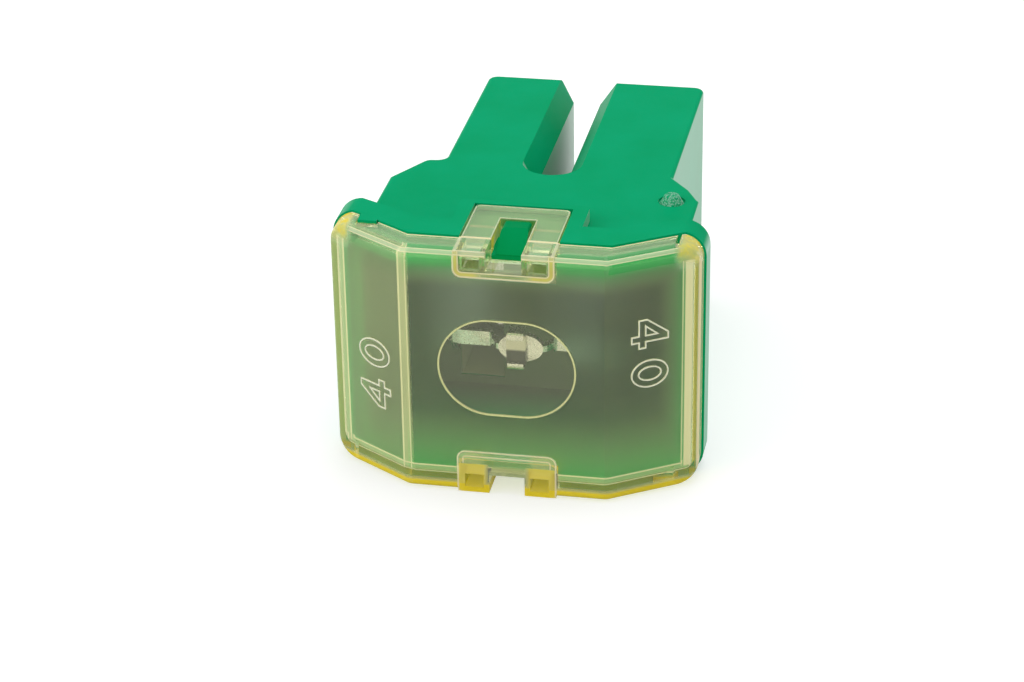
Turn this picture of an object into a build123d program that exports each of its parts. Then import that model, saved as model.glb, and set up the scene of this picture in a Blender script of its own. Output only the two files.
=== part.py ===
from build123d import *
from math import radians, tan
import os

os.makedirs("parts", exist_ok=True)

# All sizes are in millimetres. The link lies on its broad side: X across the
# two sockets, Y from the cover back to the socket mouths, Z up.
LENGTH = 25.85
BLADE_W = 8.0

# Fuse strip: one stamping that ends in two sockets, curled around the edges of
# the blades.
SHEET = 0.4
CURL_R = 0.95
CURL_SWEEP = 270
BLADE_PLAY = 0.1
SOCKET_LENGTH = 9.2
STRIP_HALF_H = 2.4
STRIP_FRONT_Y = 4.5
STRIP_BEND_R = 1.1
STRIP_TAPER = 1.6
STRIP_SHOULDER = 1.5
ARM_HALF_H = 0.42
ARM_IN_X = 1.72
NECK_HALF_H = 0.17
NECK_BEND_R = 0.28
PAD_RISE = 0.8
PAD_X = 0.2
PAD_HALF_W = 1.23
PAD_HALF_H = 0.82
CLAMP_HALF_W = 0.44
CLAMP_SHEET = 0.2
CLAMP_BEND_R = 0.2
CLAMP_LIP = 0.45

# Chip on the pad, held by the clamp tabs.
CHIP_HALF_W = 0.52
CHIP_HALF_H = 0.95
CHIP_THICK = 0.35
CHIP_R = 0.12

# Pockets and mouths of the two sockets.
SOCKET_FIT = 0.1
END_WALL = 0.85
MOUTH_W = 1.7
MOUTH_MARGIN = 0.5
MOUTH_LEAD = 0.35

# Legs in plan. The right leg is the wider one.
SLOT_X = 0.07
SLOT_W = 1.6
LEG_LEFT_W = 5.08
LEG_RIGHT_W = 6.26
LEG_WALL = 1.16
CROTCH_Y = 13.5
LEG_BEVEL_DEPTH = 1.5
LEFT_BEVEL_ANGLE = 26
RIGHT_BEVEL_ANGLE = 34.5
LEG_CORNER_R = 0.6
BODY_EDGE_R = 0.2

# Shoulders of the body, each with a slope down to its leg.
LEFT_SHOULDER_W = 2.56
LEFT_SLOPE_W = 1.51
LEFT_SLOPE_LEN = 2.69
LEFT_ROOT_RISE = 0.1
LEFT_ROOT_BACK = 0.4
RIGHT_SHOULDER_W = 1.8
RIGHT_SLOPE_W = 0.69
RIGHT_SLOPE_LEN = 1.38
RIGHT_ROOT_RISE = 1.47
RIGHT_ROOT_BACK = 0.95

# Chamber behind the cover.
FLOOR_WALL = 2.55
SIDE_WALL = 0.5
BODY_WALL = 0.7
CHAMBER_R = 0.8

# Cover: a flat centre facet and two facets that slope back to a skirt.
CREASE_X = 5.44
FACET_RISE = 0.641
COVER_OVERHANG = 1.04
COVER_STEP = 0.59
FACE_WALL = 0.85
SKIRT_REACH = 0.97
SKIRT_WALL = 0.55
END_DEPTH = 1.2
COVER_CORNER_R = 1.2
COVER_EDGE_R = 0.32
COVER_INNER_R = 0.4
CREASE_R = 0.9

# Flange behind the cover, and the low wall that stands inside the skirt.
SEAT_GAP = 0.03
FLANGE_LIP_X = 0.13
FLANGE_LIP_Z = 0.11
FLANGE_THICK = 2.1
FLANGE_END_W = 1.3
FLANGE_END_THICK = 1.57
FLANGE_CORNER_R = 1.35
RIM_GAP = 0.2
RIM_END_GAP = 0.14
RIM_WALL = 0.45

# Latch: a strap with a hole, its guard on the housing and the catch in the hole.
STRAP_ARM = 1.6
STRAP_THICK = 0.9
STRAP_SINK = 0.06
STRAP_REACH = 2.0
STRAP_BAR = 1.51
STRAP_CORNER_R = 0.3
STRAP_GAP = 0.06
STRAP_SIDE_GAP = 0.11
STRAP_RELIEF = 0.15
STRAP_RELIEF_LEN = 1.4
HOLE_HALF_W = 0.97
HOLE_DEEP = 1.1
HOLE_LEDGE = 0.18
LATCH_BOX_DEEP = 1.69
LATCH_BOX_R = 0.45
PORT_WEB = 0.3
PORT_W = 1.02
PORT_ROOF = 0.3
GUARD_WALL = 0.48
GUARD_SIDE = 0.85
GUARD_CORNER_R = 0.35
CATCH_SIDE_GAP = 0.22
CATCH_EDGE_R = 0.2
CATCH_SINK = 0.1
CATCH_FLAT = 0.8
CATCH_GAP = 0.07

# Key lug on the flange, the cut-outs of the skirt around it and the slits.
LUG_INSET = 0.5
LUG_W = 1.2
LUG_LEN = 1.2
LUG_DEEP = 0.6
LUG_GAP = 0.08
CUT_ROOM = 0.12
CUT_DEEP = 1.0
SLIT_INSET = 0.2
SLIT_W = 0.2
SLIT_LEN = 1.25

# Moulding mark on the top face, with the stub of the gate in it, and the oval
# window of the cover.
MARK_INSET = 1.44
MARK_SETBACK = 0.32
MARK_R = 0.74
MARK_DEEP = 0.1
STUB_R = 0.64
STUB_TOP_R = 0.36
STUB_PROUD = 0.4
STUB_EDGE_R = 0.15
OVAL_W = 7.48
OVAL_H = 5.7
OVAL_X = 0.0
OVAL_Z = 0.2
OVAL_STEP = 0.12

# How far cutting shapes run past what they cut, and how near an edge must be
# to a stated place to be picked.
OVERRUN = 1
NEAR = 0.1

# Legs around the slot, each with its socket in the middle.
LEG_LEFT_IN = SLOT_X - SLOT_W / 2
LEG_RIGHT_IN = SLOT_X + SLOT_W / 2
LEG_LEFT_OUT = LEG_LEFT_IN - LEG_LEFT_W
LEG_RIGHT_OUT = LEG_RIGHT_IN + LEG_RIGHT_W
LEFT_ROOT_Y = CROTCH_Y - LEFT_ROOT_BACK
RIGHT_ROOT_Y = CROTCH_Y - RIGHT_ROOT_BACK
LEFT_SLOPE_Y = LEFT_ROOT_Y - LEFT_ROOT_RISE
RIGHT_SLOPE_Y = RIGHT_ROOT_Y - RIGHT_ROOT_RISE
SOCKET_X = [LEG_LEFT_IN - LEG_LEFT_W / 2, LEG_RIGHT_IN + LEG_RIGHT_W / 2]
SOCKET_HALF_W = CURL_R + SHEET / 2
CURL_CENTRE_Z = BLADE_W / 2 + BLADE_PLAY
SOCKET_HALF_H = CURL_CENTRE_Z + SOCKET_HALF_W
SOCKET_BACK_Y = LENGTH - END_WALL
SOCKET_FRONT_Y = SOCKET_BACK_Y - SOCKET_LENGTH
MOUTH_HALF_H = CURL_CENTRE_Z + MOUTH_MARGIN

# Body, chamber, cover and flange, each worked out from the one inside it.
BODY_LEFT = LEG_LEFT_OUT - LEFT_SHOULDER_W
BODY_RIGHT = LEG_RIGHT_OUT + RIGHT_SHOULDER_W
BODY_HALF_H = SOCKET_HALF_H + SOCKET_FIT + LEG_WALL
CHAMBER_LEFT = BODY_LEFT + SIDE_WALL
CHAMBER_RIGHT = BODY_RIGHT - SIDE_WALL
CHAMBER_HALF_H = BODY_HALF_H - BODY_WALL
CHAMBER_FLOOR_Y = CROTCH_Y - SLOT_W / 2 - FLOOR_WALL
COVER_HALF_W = BODY_RIGHT + COVER_OVERHANG
COVER_HALF_H = BODY_HALF_H + COVER_STEP
SKIRT_DEPTH = FACE_WALL + SKIRT_REACH
SEAT_Y = SKIRT_DEPTH + SEAT_GAP
END_BACK_Y = FACET_RISE * (COVER_HALF_W - CREASE_X) + END_DEPTH
SKIRT_END_X = CREASE_X + (END_BACK_Y - SKIRT_DEPTH) / FACET_RISE
FLANGE_HALF_W = COVER_HALF_W + FLANGE_LIP_X
FLANGE_HALF_H = COVER_HALF_H + FLANGE_LIP_Z
FLANGE_BACK_Y = SEAT_Y + FLANGE_THICK
FLANGE_END_X = FLANGE_HALF_W - FLANGE_END_W
FLANGE_END_BACK_Y = END_BACK_Y + SEAT_GAP + FLANGE_END_THICK
FACET_WALL = FACE_WALL * (1 + FACET_RISE**2) ** 0.5
RIM_FRONT_Y = FACET_WALL + RIM_END_GAP
RIM_HALF_W = COVER_HALF_W - SKIRT_WALL - RIM_GAP
RIM_HALF_H = COVER_HALF_H - SKIRT_WALL - RIM_GAP
RIM_CORNER_R = COVER_CORNER_R - SKIRT_WALL
TRAY_HALF_W = RIM_HALF_W - RIM_WALL
TRAY_HALF_H = RIM_HALF_H - RIM_WALL

# Latch, from the flange and the hole outwards.
STRAP_HALF_W = HOLE_HALF_W + STRAP_ARM
LATCH_BOX_HALF_W = STRAP_HALF_W + STRAP_SIDE_GAP
STRAP_TOP_Z = FLANGE_HALF_H - STRAP_SINK
STRAP_END_Y = FLANGE_BACK_Y + STRAP_REACH
RELIEF_Y = (FLANGE_BACK_Y - STRAP_RELIEF_LEN, FLANGE_BACK_Y)
HOLE_NEAR_Y = SKIRT_DEPTH - HOLE_LEDGE
HOLE_FAR_Y = STRAP_END_Y - STRAP_BAR
HOLE_FLOOR_Z = STRAP_TOP_Z - HOLE_DEEP
LATCH_BOX_Z = STRAP_TOP_Z - LATCH_BOX_DEEP
PORT_IN_X = HOLE_HALF_W + PORT_WEB
PORT_TOP_Z = STRAP_TOP_Z - PORT_ROOF
GUARD_HALF_W = LATCH_BOX_HALF_W + GUARD_SIDE
GUARD_END_Y = STRAP_END_Y + STRAP_GAP + GUARD_WALL
CATCH_HALF_W = HOLE_HALF_W - CATCH_SIDE_GAP
CATCH_TOP_Z = STRAP_TOP_Z - CATCH_SINK
CATCH_END_Y = HOLE_FAR_Y - CATCH_GAP

# Lug, cut-out and slit, from the corner where the skirt's edge turns.
LUG_OUT_X = SKIRT_END_X - LUG_INSET
LUG_IN_X = LUG_OUT_X - LUG_W
LUG_FRONT_Y = END_BACK_Y - LUG_LEN
CUT_FRONT_Y = LUG_FRONT_Y - CUT_ROOM
SLIT_OUT_X = SKIRT_END_X - SLIT_INSET
SLIT_IN_X = SLIT_OUT_X - SLIT_W
SLIT_FRONT_Y = END_BACK_Y - SLIT_LEN

# Pad of the fuse strip, in front of its arms, and the room that the bevel of
# the right leg takes beyond the one of the left leg.
PAD_Y = STRIP_FRONT_Y - PAD_RISE
CLAMP_TOP_Z = CHIP_HALF_H + CLAMP_SHEET
BEVEL_MORE = LEG_BEVEL_DEPTH * (tan(radians(RIGHT_BEVEL_ANGLE)) - tan(radians(LEFT_BEVEL_ANGLE)))

ORIGIN = Vector(0, -LENGTH / 2, FLANGE_HALF_H)
PLAN = Plane(origin=ORIGIN, x_dir=(1, 0, 0), z_dir=(0, 0, 1))
FRONT = Plane(origin=ORIGIN, x_dir=(1, 0, 0), z_dir=(0, -1, 0))
SIDE = Plane(origin=ORIGIN, x_dir=(0, 1, 0), z_dir=(1, 0, 0))


def facet_y(x, start):
    """Y of a line that follows the cover front, moved back by start."""
    return start + FACET_RISE * max(0.0, abs(x) - CREASE_X)


def bar(xs, ys, zs, mode=Mode.ADD):
    """Box between three pairs of limits, in the coordinates of the plan plane."""
    middle = [sum(pair) / 2 for pair in (xs, ys, zs)]
    with Locations(PLAN.location * Location(middle)):
        Box(*[abs(pair[1] - pair[0]) for pair in (xs, ys, zs)], mode=mode)


def leg_slot(level, x=SLOT_X, width=SLOT_W):
    """Sketch of a round-ended slot between the legs, at a height from mid."""
    with BuildSketch(PLAN.offset(level)) as sketch:
        with Locations((x, (CROTCH_Y + LENGTH + OVERRUN) / 2)):
            Rectangle(width, LENGTH + OVERRUN - CROTCH_Y)
        with Locations((x, CROTCH_Y)):
            Circle(width / 2)
    return sketch.sketch


def end_edges(part, half_width):
    """Front to back edges at the two ends of a part of the given half width."""
    return part.edges().filter_by(Axis.Y).filter_by(lambda e: abs(e.center().X) > half_width - NEAR)


def front_edges(part):
    """Edges around the front of a part, without the creases between its facets."""
    rim_edges = part.faces().filter_by(lambda f: f.normal_at().Y < -0.5).edges()
    inner = rim_edges.filter_by(Axis.Z).filter_by(lambda e: abs(e.center().X) < CREASE_X + NEAR)
    return rim_edges - inner


# Body block with the two legs and the slot between them.
with BuildPart() as body:
    with BuildSketch(PLAN.offset(-BODY_HALF_H)):
        with BuildLine():
            Polyline(
                (BODY_LEFT, END_BACK_Y),
                (BODY_LEFT, LEFT_SLOPE_Y - LEFT_SLOPE_LEN),
                (BODY_LEFT + LEFT_SLOPE_W, LEFT_SLOPE_Y),
                (LEG_LEFT_OUT, LEFT_ROOT_Y),
                (LEG_LEFT_OUT, LENGTH),
                (LEG_RIGHT_OUT, LENGTH),
                (LEG_RIGHT_OUT, RIGHT_ROOT_Y),
                (BODY_RIGHT - RIGHT_SLOPE_W, RIGHT_SLOPE_Y),
                (BODY_RIGHT, RIGHT_SLOPE_Y - RIGHT_SLOPE_LEN),
                (BODY_RIGHT, END_BACK_Y),
                (CREASE_X, (SEAT_Y + FLANGE_BACK_Y) / 2),
                (-CREASE_X, (SEAT_Y + FLANGE_BACK_Y) / 2),
                close=True,
            )
        make_face()
    extrude(amount=2 * BODY_HALF_H)
    uprights = body.edges().filter_by(Axis.Z)
    fillet(uprights.filter_by(lambda e: e.center().Y > 0), LEG_CORNER_R)
    rims = body.faces().filter_by(Axis.Z).edges()
    fillet(rims.filter_by(lambda e: e.center().Y > END_BACK_Y - LENGTH / 2 + NEAR), BODY_EDGE_R)
    extrude(leg_slot(-BODY_HALF_H), amount=2 * BODY_HALF_H, mode=Mode.SUBTRACT)
    # The bevel of the right leg is flatter, so it has a cut of its own that
    # ends where the left bevel ends.
    right_x = SLOT_X + BEVEL_MORE / 2
    for way in (1, -1):
        level = way * (BODY_HALF_H - LEG_BEVEL_DEPTH)
        rise = way * (LEG_BEVEL_DEPTH + NEAR)
        extrude(leg_slot(level), amount=rise, taper=-LEFT_BEVEL_ANGLE, mode=Mode.SUBTRACT)
        right_slot = leg_slot(level, right_x, SLOT_W - BEVEL_MORE)
        extrude(right_slot, amount=rise, taper=-RIGHT_BEVEL_ANGLE, mode=Mode.SUBTRACT)

# Flange that follows the facets of the cover, with rounded ends.
with BuildPart() as flange:
    with BuildSketch(PLAN.offset(-FLANGE_HALF_H)):
        with BuildLine():
            Polyline(
                (-FLANGE_HALF_W, END_BACK_Y + SEAT_GAP),
                (-SKIRT_END_X, END_BACK_Y + SEAT_GAP),
                (-CREASE_X, SEAT_Y),
                (CREASE_X, SEAT_Y),
                (SKIRT_END_X, END_BACK_Y + SEAT_GAP),
                (FLANGE_HALF_W, END_BACK_Y + SEAT_GAP),
                (FLANGE_HALF_W, FLANGE_END_BACK_Y),
                (FLANGE_END_X, FLANGE_END_BACK_Y),
                (CREASE_X, FLANGE_BACK_Y),
                (-CREASE_X, FLANGE_BACK_Y),
                (-FLANGE_END_X, FLANGE_END_BACK_Y),
                (-FLANGE_HALF_W, FLANGE_END_BACK_Y),
                close=True,
            )
        make_face()
    extrude(amount=2 * FLANGE_HALF_H)
    fillet(end_edges(flange, FLANGE_HALF_W), FLANGE_CORNER_R)

# Low wall of the housing that stands inside the skirt of the cover.
with BuildPart() as rim:
    with BuildSketch(PLAN.offset(-RIM_HALF_H)):
        with BuildLine():
            Polyline(
                (-RIM_HALF_W, facet_y(RIM_HALF_W, RIM_FRONT_Y)),
                (-CREASE_X, RIM_FRONT_Y),
                (CREASE_X, RIM_FRONT_Y),
                (RIM_HALF_W, facet_y(RIM_HALF_W, RIM_FRONT_Y)),
                (RIM_HALF_W, (END_BACK_Y + FLANGE_END_BACK_Y) / 2),
                (-RIM_HALF_W, (END_BACK_Y + FLANGE_END_BACK_Y) / 2),
                close=True,
            )
        make_face()
    extrude(amount=2 * RIM_HALF_H)
    fillet(end_edges(rim, RIM_HALF_W), RIM_CORNER_R)

# Room inside the rim, down to the front of the flange.
with BuildPart() as tray:
    with BuildSketch(PLAN.offset(-TRAY_HALF_H)):
        with BuildLine():
            Polyline(
                (-TRAY_HALF_W, 0),
                (-TRAY_HALF_W, facet_y(TRAY_HALF_W, SEAT_Y)),
                (-CREASE_X, SEAT_Y),
                (CREASE_X, SEAT_Y),
                (TRAY_HALF_W, facet_y(TRAY_HALF_W, SEAT_Y)),
                (TRAY_HALF_W, 0),
                close=True,
            )
        make_face()
    extrude(amount=2 * TRAY_HALF_H)
    fillet(end_edges(tray, TRAY_HALF_W), RIM_CORNER_R - RIM_WALL / 2)

# Guards around the two latches, flush with the flange.
with BuildPart() as guards:
    for way in (1, -1):
        with BuildSketch(PLAN.offset(way * CHAMBER_HALF_H)):
            with Locations((0, (SEAT_Y + GUARD_END_Y) / 2)):
                Rectangle(2 * GUARD_HALF_W, GUARD_END_Y - SEAT_Y)
        extrude(amount=way * (FLANGE_HALF_H - CHAMBER_HALF_H))
    far = guards.edges().filter_by(Axis.Z).group_by(Axis.Y)[-1]
    fillet(far, GUARD_CORNER_R)

# Catches: a ramp that rises away from the cover and ends in a square face.
with BuildPart() as catches:
    with BuildSketch(SIDE.offset(-CATCH_HALF_W)):
        for way in (1, -1):
            with BuildLine():
                Polyline(
                    (SEAT_Y, way * CHAMBER_HALF_H),
                    (SEAT_Y, way * (STRAP_TOP_Z - STRAP_THICK)),
                    (CATCH_END_Y - CATCH_FLAT, way * CATCH_TOP_Z),
                    (CATCH_END_Y, way * CATCH_TOP_Z),
                    (CATCH_END_Y, way * CHAMBER_HALF_H),
                    close=True,
                )
            make_face()
    extrude(amount=2 * CATCH_HALF_W)
    crests = catches.edges().filter_by(Axis.Y).filter_by(
        lambda e: abs(abs(e.center().Z - FLANGE_HALF_H) - CATCH_TOP_Z) < NEAR
    )
    fillet(crests, CATCH_EDGE_R)

# Chamber for the fuse strip, open towards the cover.
with BuildPart() as chamber:
    bar((CHAMBER_LEFT, CHAMBER_RIGHT), (0, CHAMBER_FLOOR_Y), (-CHAMBER_HALF_H, CHAMBER_HALF_H))
    fillet(chamber.edges().filter_by(Axis.Y), CHAMBER_R)

# Housing: the green moulding.
with BuildPart() as housing:
    add(body.part)
    add(flange.part)
    add(rim.part)
    add(guards.part)
    add(chamber.part, mode=Mode.SUBTRACT)
    add(tray.part, mode=Mode.SUBTRACT)
    # A pocket down each leg, closed at the end but for the mouth of the blade.
    half_w = SOCKET_HALF_W + SOCKET_FIT
    half_h = SOCKET_HALF_H + SOCKET_FIT
    pocket_y = (CHAMBER_FLOOR_Y - OVERRUN, SOCKET_BACK_Y)
    mouth_y = (SOCKET_BACK_Y - OVERRUN, LENGTH + OVERRUN)
    for x in SOCKET_X:
        bar((x - half_w, x + half_w), pocket_y, (-half_h, half_h), Mode.SUBTRACT)
        mouth_x = (x - MOUTH_W / 2, x + MOUTH_W / 2)
        bar(mouth_x, mouth_y, (-MOUTH_HALF_H, MOUTH_HALF_H), Mode.SUBTRACT)
    mouths = [face.inner_wires()[0].edges() for face in housing.faces().group_by(Axis.Y)[-1]]
    chamfer(mouths[0] + mouths[1], MOUTH_LEAD)
    # Room for the latch boxes in the rim and for the straps in the guards.
    for way in (1, -1):
        box_x = LATCH_BOX_HALF_W + RIM_GAP
        box_z = (way * (CHAMBER_HALF_H - OVERRUN), way * (FLANGE_HALF_H + OVERRUN))
        bar((-box_x, box_x), (0, SEAT_Y), box_z, Mode.SUBTRACT)
        deck_z = (way * (STRAP_TOP_Z - STRAP_THICK - STRAP_GAP), way * (FLANGE_HALF_H + OVERRUN))
        bar((-LATCH_BOX_HALF_W, LATCH_BOX_HALF_W), (0, STRAP_END_Y + STRAP_GAP), deck_z, Mode.SUBTRACT)
    add(catches.part)
    # Key lugs, one at the top left and one at the bottom right.
    for way in (1, -1):
        lug_x = (-way * (LUG_OUT_X - LUG_GAP), -way * (LUG_IN_X + LUG_GAP))
        bar(lug_x, (LUG_FRONT_Y, END_BACK_Y), (way * FLANGE_HALF_H, way * (FLANGE_HALF_H - LUG_DEEP)))
    # Round moulding mark in the top face, beside the right slope.
    mark_xy = (BODY_RIGHT - MARK_INSET, RIGHT_SLOPE_Y - RIGHT_SLOPE_LEN - MARK_SETBACK)
    with BuildSketch(PLAN.offset(BODY_HALF_H)):
        with Locations(mark_xy):
            Circle(MARK_R)
    extrude(amount=-MARK_DEEP, mode=Mode.SUBTRACT)
    stub_height = MARK_DEEP + STUB_PROUD
    with Locations(PLAN.location * Location((*mark_xy, BODY_HALF_H - MARK_DEEP + stub_height / 2))):
        Cone(STUB_R, STUB_TOP_R, stub_height)
    fillet(housing.faces().filter_by(GeomType.CONE).edges().sort_by(Axis.Z)[-1], STUB_EDGE_R)

housing.part.label = "housing"
export_step(housing.part, "parts/housing.step")

# Outer form of the cover, then the room inside it.
with BuildPart() as cover_outer:
    with BuildSketch(PLAN.offset(-COVER_HALF_H)):
        with BuildLine():
            Polyline(
                (-COVER_HALF_W, facet_y(COVER_HALF_W, 0)),
                (-CREASE_X, 0),
                (CREASE_X, 0),
                (COVER_HALF_W, facet_y(COVER_HALF_W, 0)),
                (COVER_HALF_W, END_BACK_Y),
                (SKIRT_END_X, END_BACK_Y),
                (CREASE_X, SKIRT_DEPTH),
                (-CREASE_X, SKIRT_DEPTH),
                (-SKIRT_END_X, END_BACK_Y),
                (-COVER_HALF_W, END_BACK_Y),
                close=True,
            )
        make_face()
    extrude(amount=2 * COVER_HALF_H)
    fillet(end_edges(cover_outer, COVER_HALF_W), COVER_CORNER_R)

INNER_HALF_W = COVER_HALF_W - SKIRT_WALL
INNER_HALF_H = COVER_HALF_H - SKIRT_WALL
INNER_CREASE_X = CREASE_X - (FACET_WALL - FACE_WALL) / FACET_RISE
with BuildPart() as cover_room:
    with BuildSketch(PLAN.offset(-INNER_HALF_H)):
        with BuildLine():
            Polyline(
                (-INNER_HALF_W, FACET_WALL + facet_y(INNER_HALF_W, 0)),
                (-INNER_CREASE_X, FACE_WALL),
                (INNER_CREASE_X, FACE_WALL),
                (INNER_HALF_W, FACET_WALL + facet_y(INNER_HALF_W, 0)),
                (INNER_HALF_W, END_BACK_Y + OVERRUN),
                (-INNER_HALF_W, END_BACK_Y + OVERRUN),
                close=True,
            )
        make_face()
    extrude(amount=2 * INNER_HALF_H)
    fillet(end_edges(cover_room, INNER_HALF_W), RIM_CORNER_R)
    fillet(front_edges(cover_room), COVER_INNER_R)

# Cover: the clear moulding with its two latch straps.
with BuildPart() as cover:
    add(cover_outer.part)
    fillet(front_edges(cover), COVER_EDGE_R)
    creases = cover.edges().filter_by(Axis.Z).filter_by(lambda e: abs(e.center().Y + LENGTH / 2) < NEAR)
    fillet(creases, CREASE_R)
    add(cover_room.part, mode=Mode.SUBTRACT)
    # Latch boxes in the front and straps that reach back over the housing.
    for way in (1, -1):
        strap_z = (way * (STRAP_TOP_Z - STRAP_THICK), way * STRAP_TOP_Z)
        box_z = (way * LATCH_BOX_Z, way * STRAP_TOP_Z)
        bar((-LATCH_BOX_HALF_W, LATCH_BOX_HALF_W), (0, SKIRT_DEPTH), box_z)
        bar((-STRAP_HALF_W, STRAP_HALF_W), (FACE_WALL, STRAP_END_Y), strap_z)
        relief_z = (strap_z[0] - way * OVERRUN, strap_z[0] + way * STRAP_RELIEF)
        bar((-STRAP_HALF_W, STRAP_HALF_W), RELIEF_Y, relief_z, Mode.SUBTRACT)
        hole_x = (-HOLE_HALF_W, HOLE_HALF_W)
        over_z = way * (FLANGE_HALF_H + OVERRUN)
        bar(hole_x, (-OVERRUN, HOLE_FAR_Y), (way * HOLE_FLOOR_Z, over_z), Mode.SUBTRACT)
        under_z = way * (LATCH_BOX_Z - OVERRUN)
        bar(hole_x, (HOLE_NEAR_Y, HOLE_FAR_Y), (under_z, over_z), Mode.SUBTRACT)
        for side in (1, -1):
            port_x = (side * PORT_IN_X, side * (PORT_IN_X + PORT_W))
            port_z = (way * HOLE_FLOOR_Z, way * PORT_TOP_Z)
            bar(port_x, (-OVERRUN, SKIRT_DEPTH + NEAR), port_z, Mode.SUBTRACT)
    tips = cover.edges().filter_by(Axis.Z).group_by(Axis.Y)[-1]
    fillet(tips, STRAP_CORNER_R)
    lower = cover.edges().filter_by(Axis.Y).filter_by(
        lambda e: abs(abs(e.center().X) - LATCH_BOX_HALF_W) < NEAR / 2
        and abs(abs(e.center().Z - FLANGE_HALF_H) - LATCH_BOX_Z) < NEAR / 2
    )
    fillet(lower, LATCH_BOX_R)
    # Cut-outs for the key lugs and the slits beside the opposite corners.
    for way in (1, -1):
        cut_z = (way * (COVER_HALF_H - CUT_DEEP), way * (COVER_HALF_H + OVERRUN))
        back_y = END_BACK_Y + OVERRUN
        bar((-way * LUG_IN_X, -way * LUG_OUT_X), (CUT_FRONT_Y, back_y), cut_z, Mode.SUBTRACT)
        bar((way * SLIT_IN_X, way * SLIT_OUT_X), (SLIT_FRONT_Y, back_y), cut_z, Mode.SUBTRACT)
    # Step of the oval window in the back of the front wall.
    with BuildSketch(FRONT.offset(-FACE_WALL - NEAR)):
        with Locations((OVAL_X, OVAL_Z)):
            SlotOverall(OVAL_W, OVAL_H)
    extrude(amount=OVAL_STEP + NEAR, mode=Mode.SUBTRACT)

cover.part.label = "cover"
export_step(cover.part, "parts/cover.step")

# Fuse strip: a bent sheet, narrowed by its side view, with necks and a pad.
SHEET_X = [SOCKET_X[0] - CURL_R, SOCKET_X[1] + CURL_R]
ARM_MID_X = (PAD_X + ARM_IN_X + min(abs(x) for x in SHEET_X) - STRIP_BEND_R) / 2
with BuildPart() as fuse_link:
    with BuildSketch(PLAN.offset(-CURL_CENTRE_Z)):
        with BuildLine():
            for x, side in zip(SHEET_X, (-1, 1)):
                FilletPolyline(
                    (x, SOCKET_BACK_Y),
                    (x, STRIP_FRONT_Y + SHEET / 2),
                    (side * ARM_MID_X, STRIP_FRONT_Y + SHEET / 2),
                    radius=STRIP_BEND_R,
                )
            FilletPolyline(
                (-ARM_MID_X, STRIP_FRONT_Y + SHEET / 2),
                (PAD_X - ARM_IN_X, STRIP_FRONT_Y + SHEET / 2),
                (PAD_X - PAD_HALF_W, PAD_Y + SHEET / 2),
                (PAD_X + PAD_HALF_W, PAD_Y + SHEET / 2),
                (PAD_X + ARM_IN_X, STRIP_FRONT_Y + SHEET / 2),
                (ARM_MID_X, STRIP_FRONT_Y + SHEET / 2),
                radius=NECK_BEND_R,
            )
        trace(line_width=SHEET)
    extrude(amount=2 * CURL_CENTRE_Z)
    taper_y = STRIP_FRONT_Y + SHEET + STRIP_BEND_R
    with BuildSketch(SIDE.offset(-FLANGE_HALF_W)):
        with BuildLine():
            Polyline(
                (0, ARM_HALF_H),
                (taper_y, ARM_HALF_H),
                (taper_y + STRIP_TAPER, STRIP_HALF_H),
                (SOCKET_FRONT_Y - STRIP_SHOULDER, STRIP_HALF_H),
                (SOCKET_FRONT_Y, CURL_CENTRE_Z),
                (LENGTH, CURL_CENTRE_Z),
                (LENGTH, -CURL_CENTRE_Z),
                (SOCKET_FRONT_Y, -CURL_CENTRE_Z),
                (SOCKET_FRONT_Y - STRIP_SHOULDER, -STRIP_HALF_H),
                (taper_y + STRIP_TAPER, -STRIP_HALF_H),
                (taper_y, -ARM_HALF_H),
                (0, -ARM_HALF_H),
                close=True,
            )
        make_face()
    extrude(amount=2 * FLANGE_HALF_W, mode=Mode.INTERSECT)
    # Necks that step forward to the oval pad, and the pad with its two tabs.
    for way in (1, -1):
        neck_z = (way * NECK_HALF_H, way * STRIP_HALF_H)
        neck_y = (0, STRIP_FRONT_Y + SHEET + NEAR)
        bar((PAD_X - ARM_IN_X, PAD_X + ARM_IN_X), neck_y, neck_z, Mode.SUBTRACT)
    with BuildSketch(FRONT.offset(-PAD_Y)):
        with Locations((PAD_X, 0)):
            Ellipse(PAD_HALF_W, PAD_HALF_H)
        Rectangle(2 * CLAMP_HALF_W, 2 * CLAMP_TOP_Z)
    extrude(amount=-SHEET)
    # Curled sides of the two sockets.
    for x, way, start in ((SOCKET_X[0], -1, 180), (SOCKET_X[1], 1, 0)):
        for side in (1, -1):
            with BuildSketch(FRONT.offset(-SOCKET_FRONT_Y)):
                with BuildLine():
                    CenterArc((x, side * CURL_CENTRE_Z), CURL_R, start, side * way * CURL_SWEEP)
                trace(line_width=SHEET)
            extrude(amount=-(SOCKET_BACK_Y - SOCKET_FRONT_Y))
    # Clamp tabs that fold over the chip from above and below.
    fold_y = PAD_Y - CHIP_THICK - CLAMP_SHEET / 2
    root_z = CLAMP_TOP_Z - CLAMP_SHEET / 2
    with BuildSketch(SIDE.offset(-CLAMP_HALF_W)):
        for way in (1, -1):
            with BuildLine():
                FilletPolyline(
                    (PAD_Y + SHEET / 2, way * root_z),
                    (fold_y, way * root_z),
                    (fold_y, way * (CLAMP_TOP_Z - CLAMP_LIP)),
                    radius=CLAMP_BEND_R,
                )
            trace(line_width=CLAMP_SHEET)
    extrude(amount=2 * CLAMP_HALF_W)

fuse_link.part.label = "fuse_link"
export_step(fuse_link.part, "parts/fuse_link.step")

# Chip on the pad, under the clamp tabs.
with BuildPart() as tin_chip:
    chip_y = (PAD_Y - CHIP_THICK, PAD_Y)
    bar((-CHIP_HALF_W, CHIP_HALF_W), chip_y, (-CHIP_HALF_H, CHIP_HALF_H))
    fillet(tin_chip.edges().filter_by(Axis.Y), CHIP_R)

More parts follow.
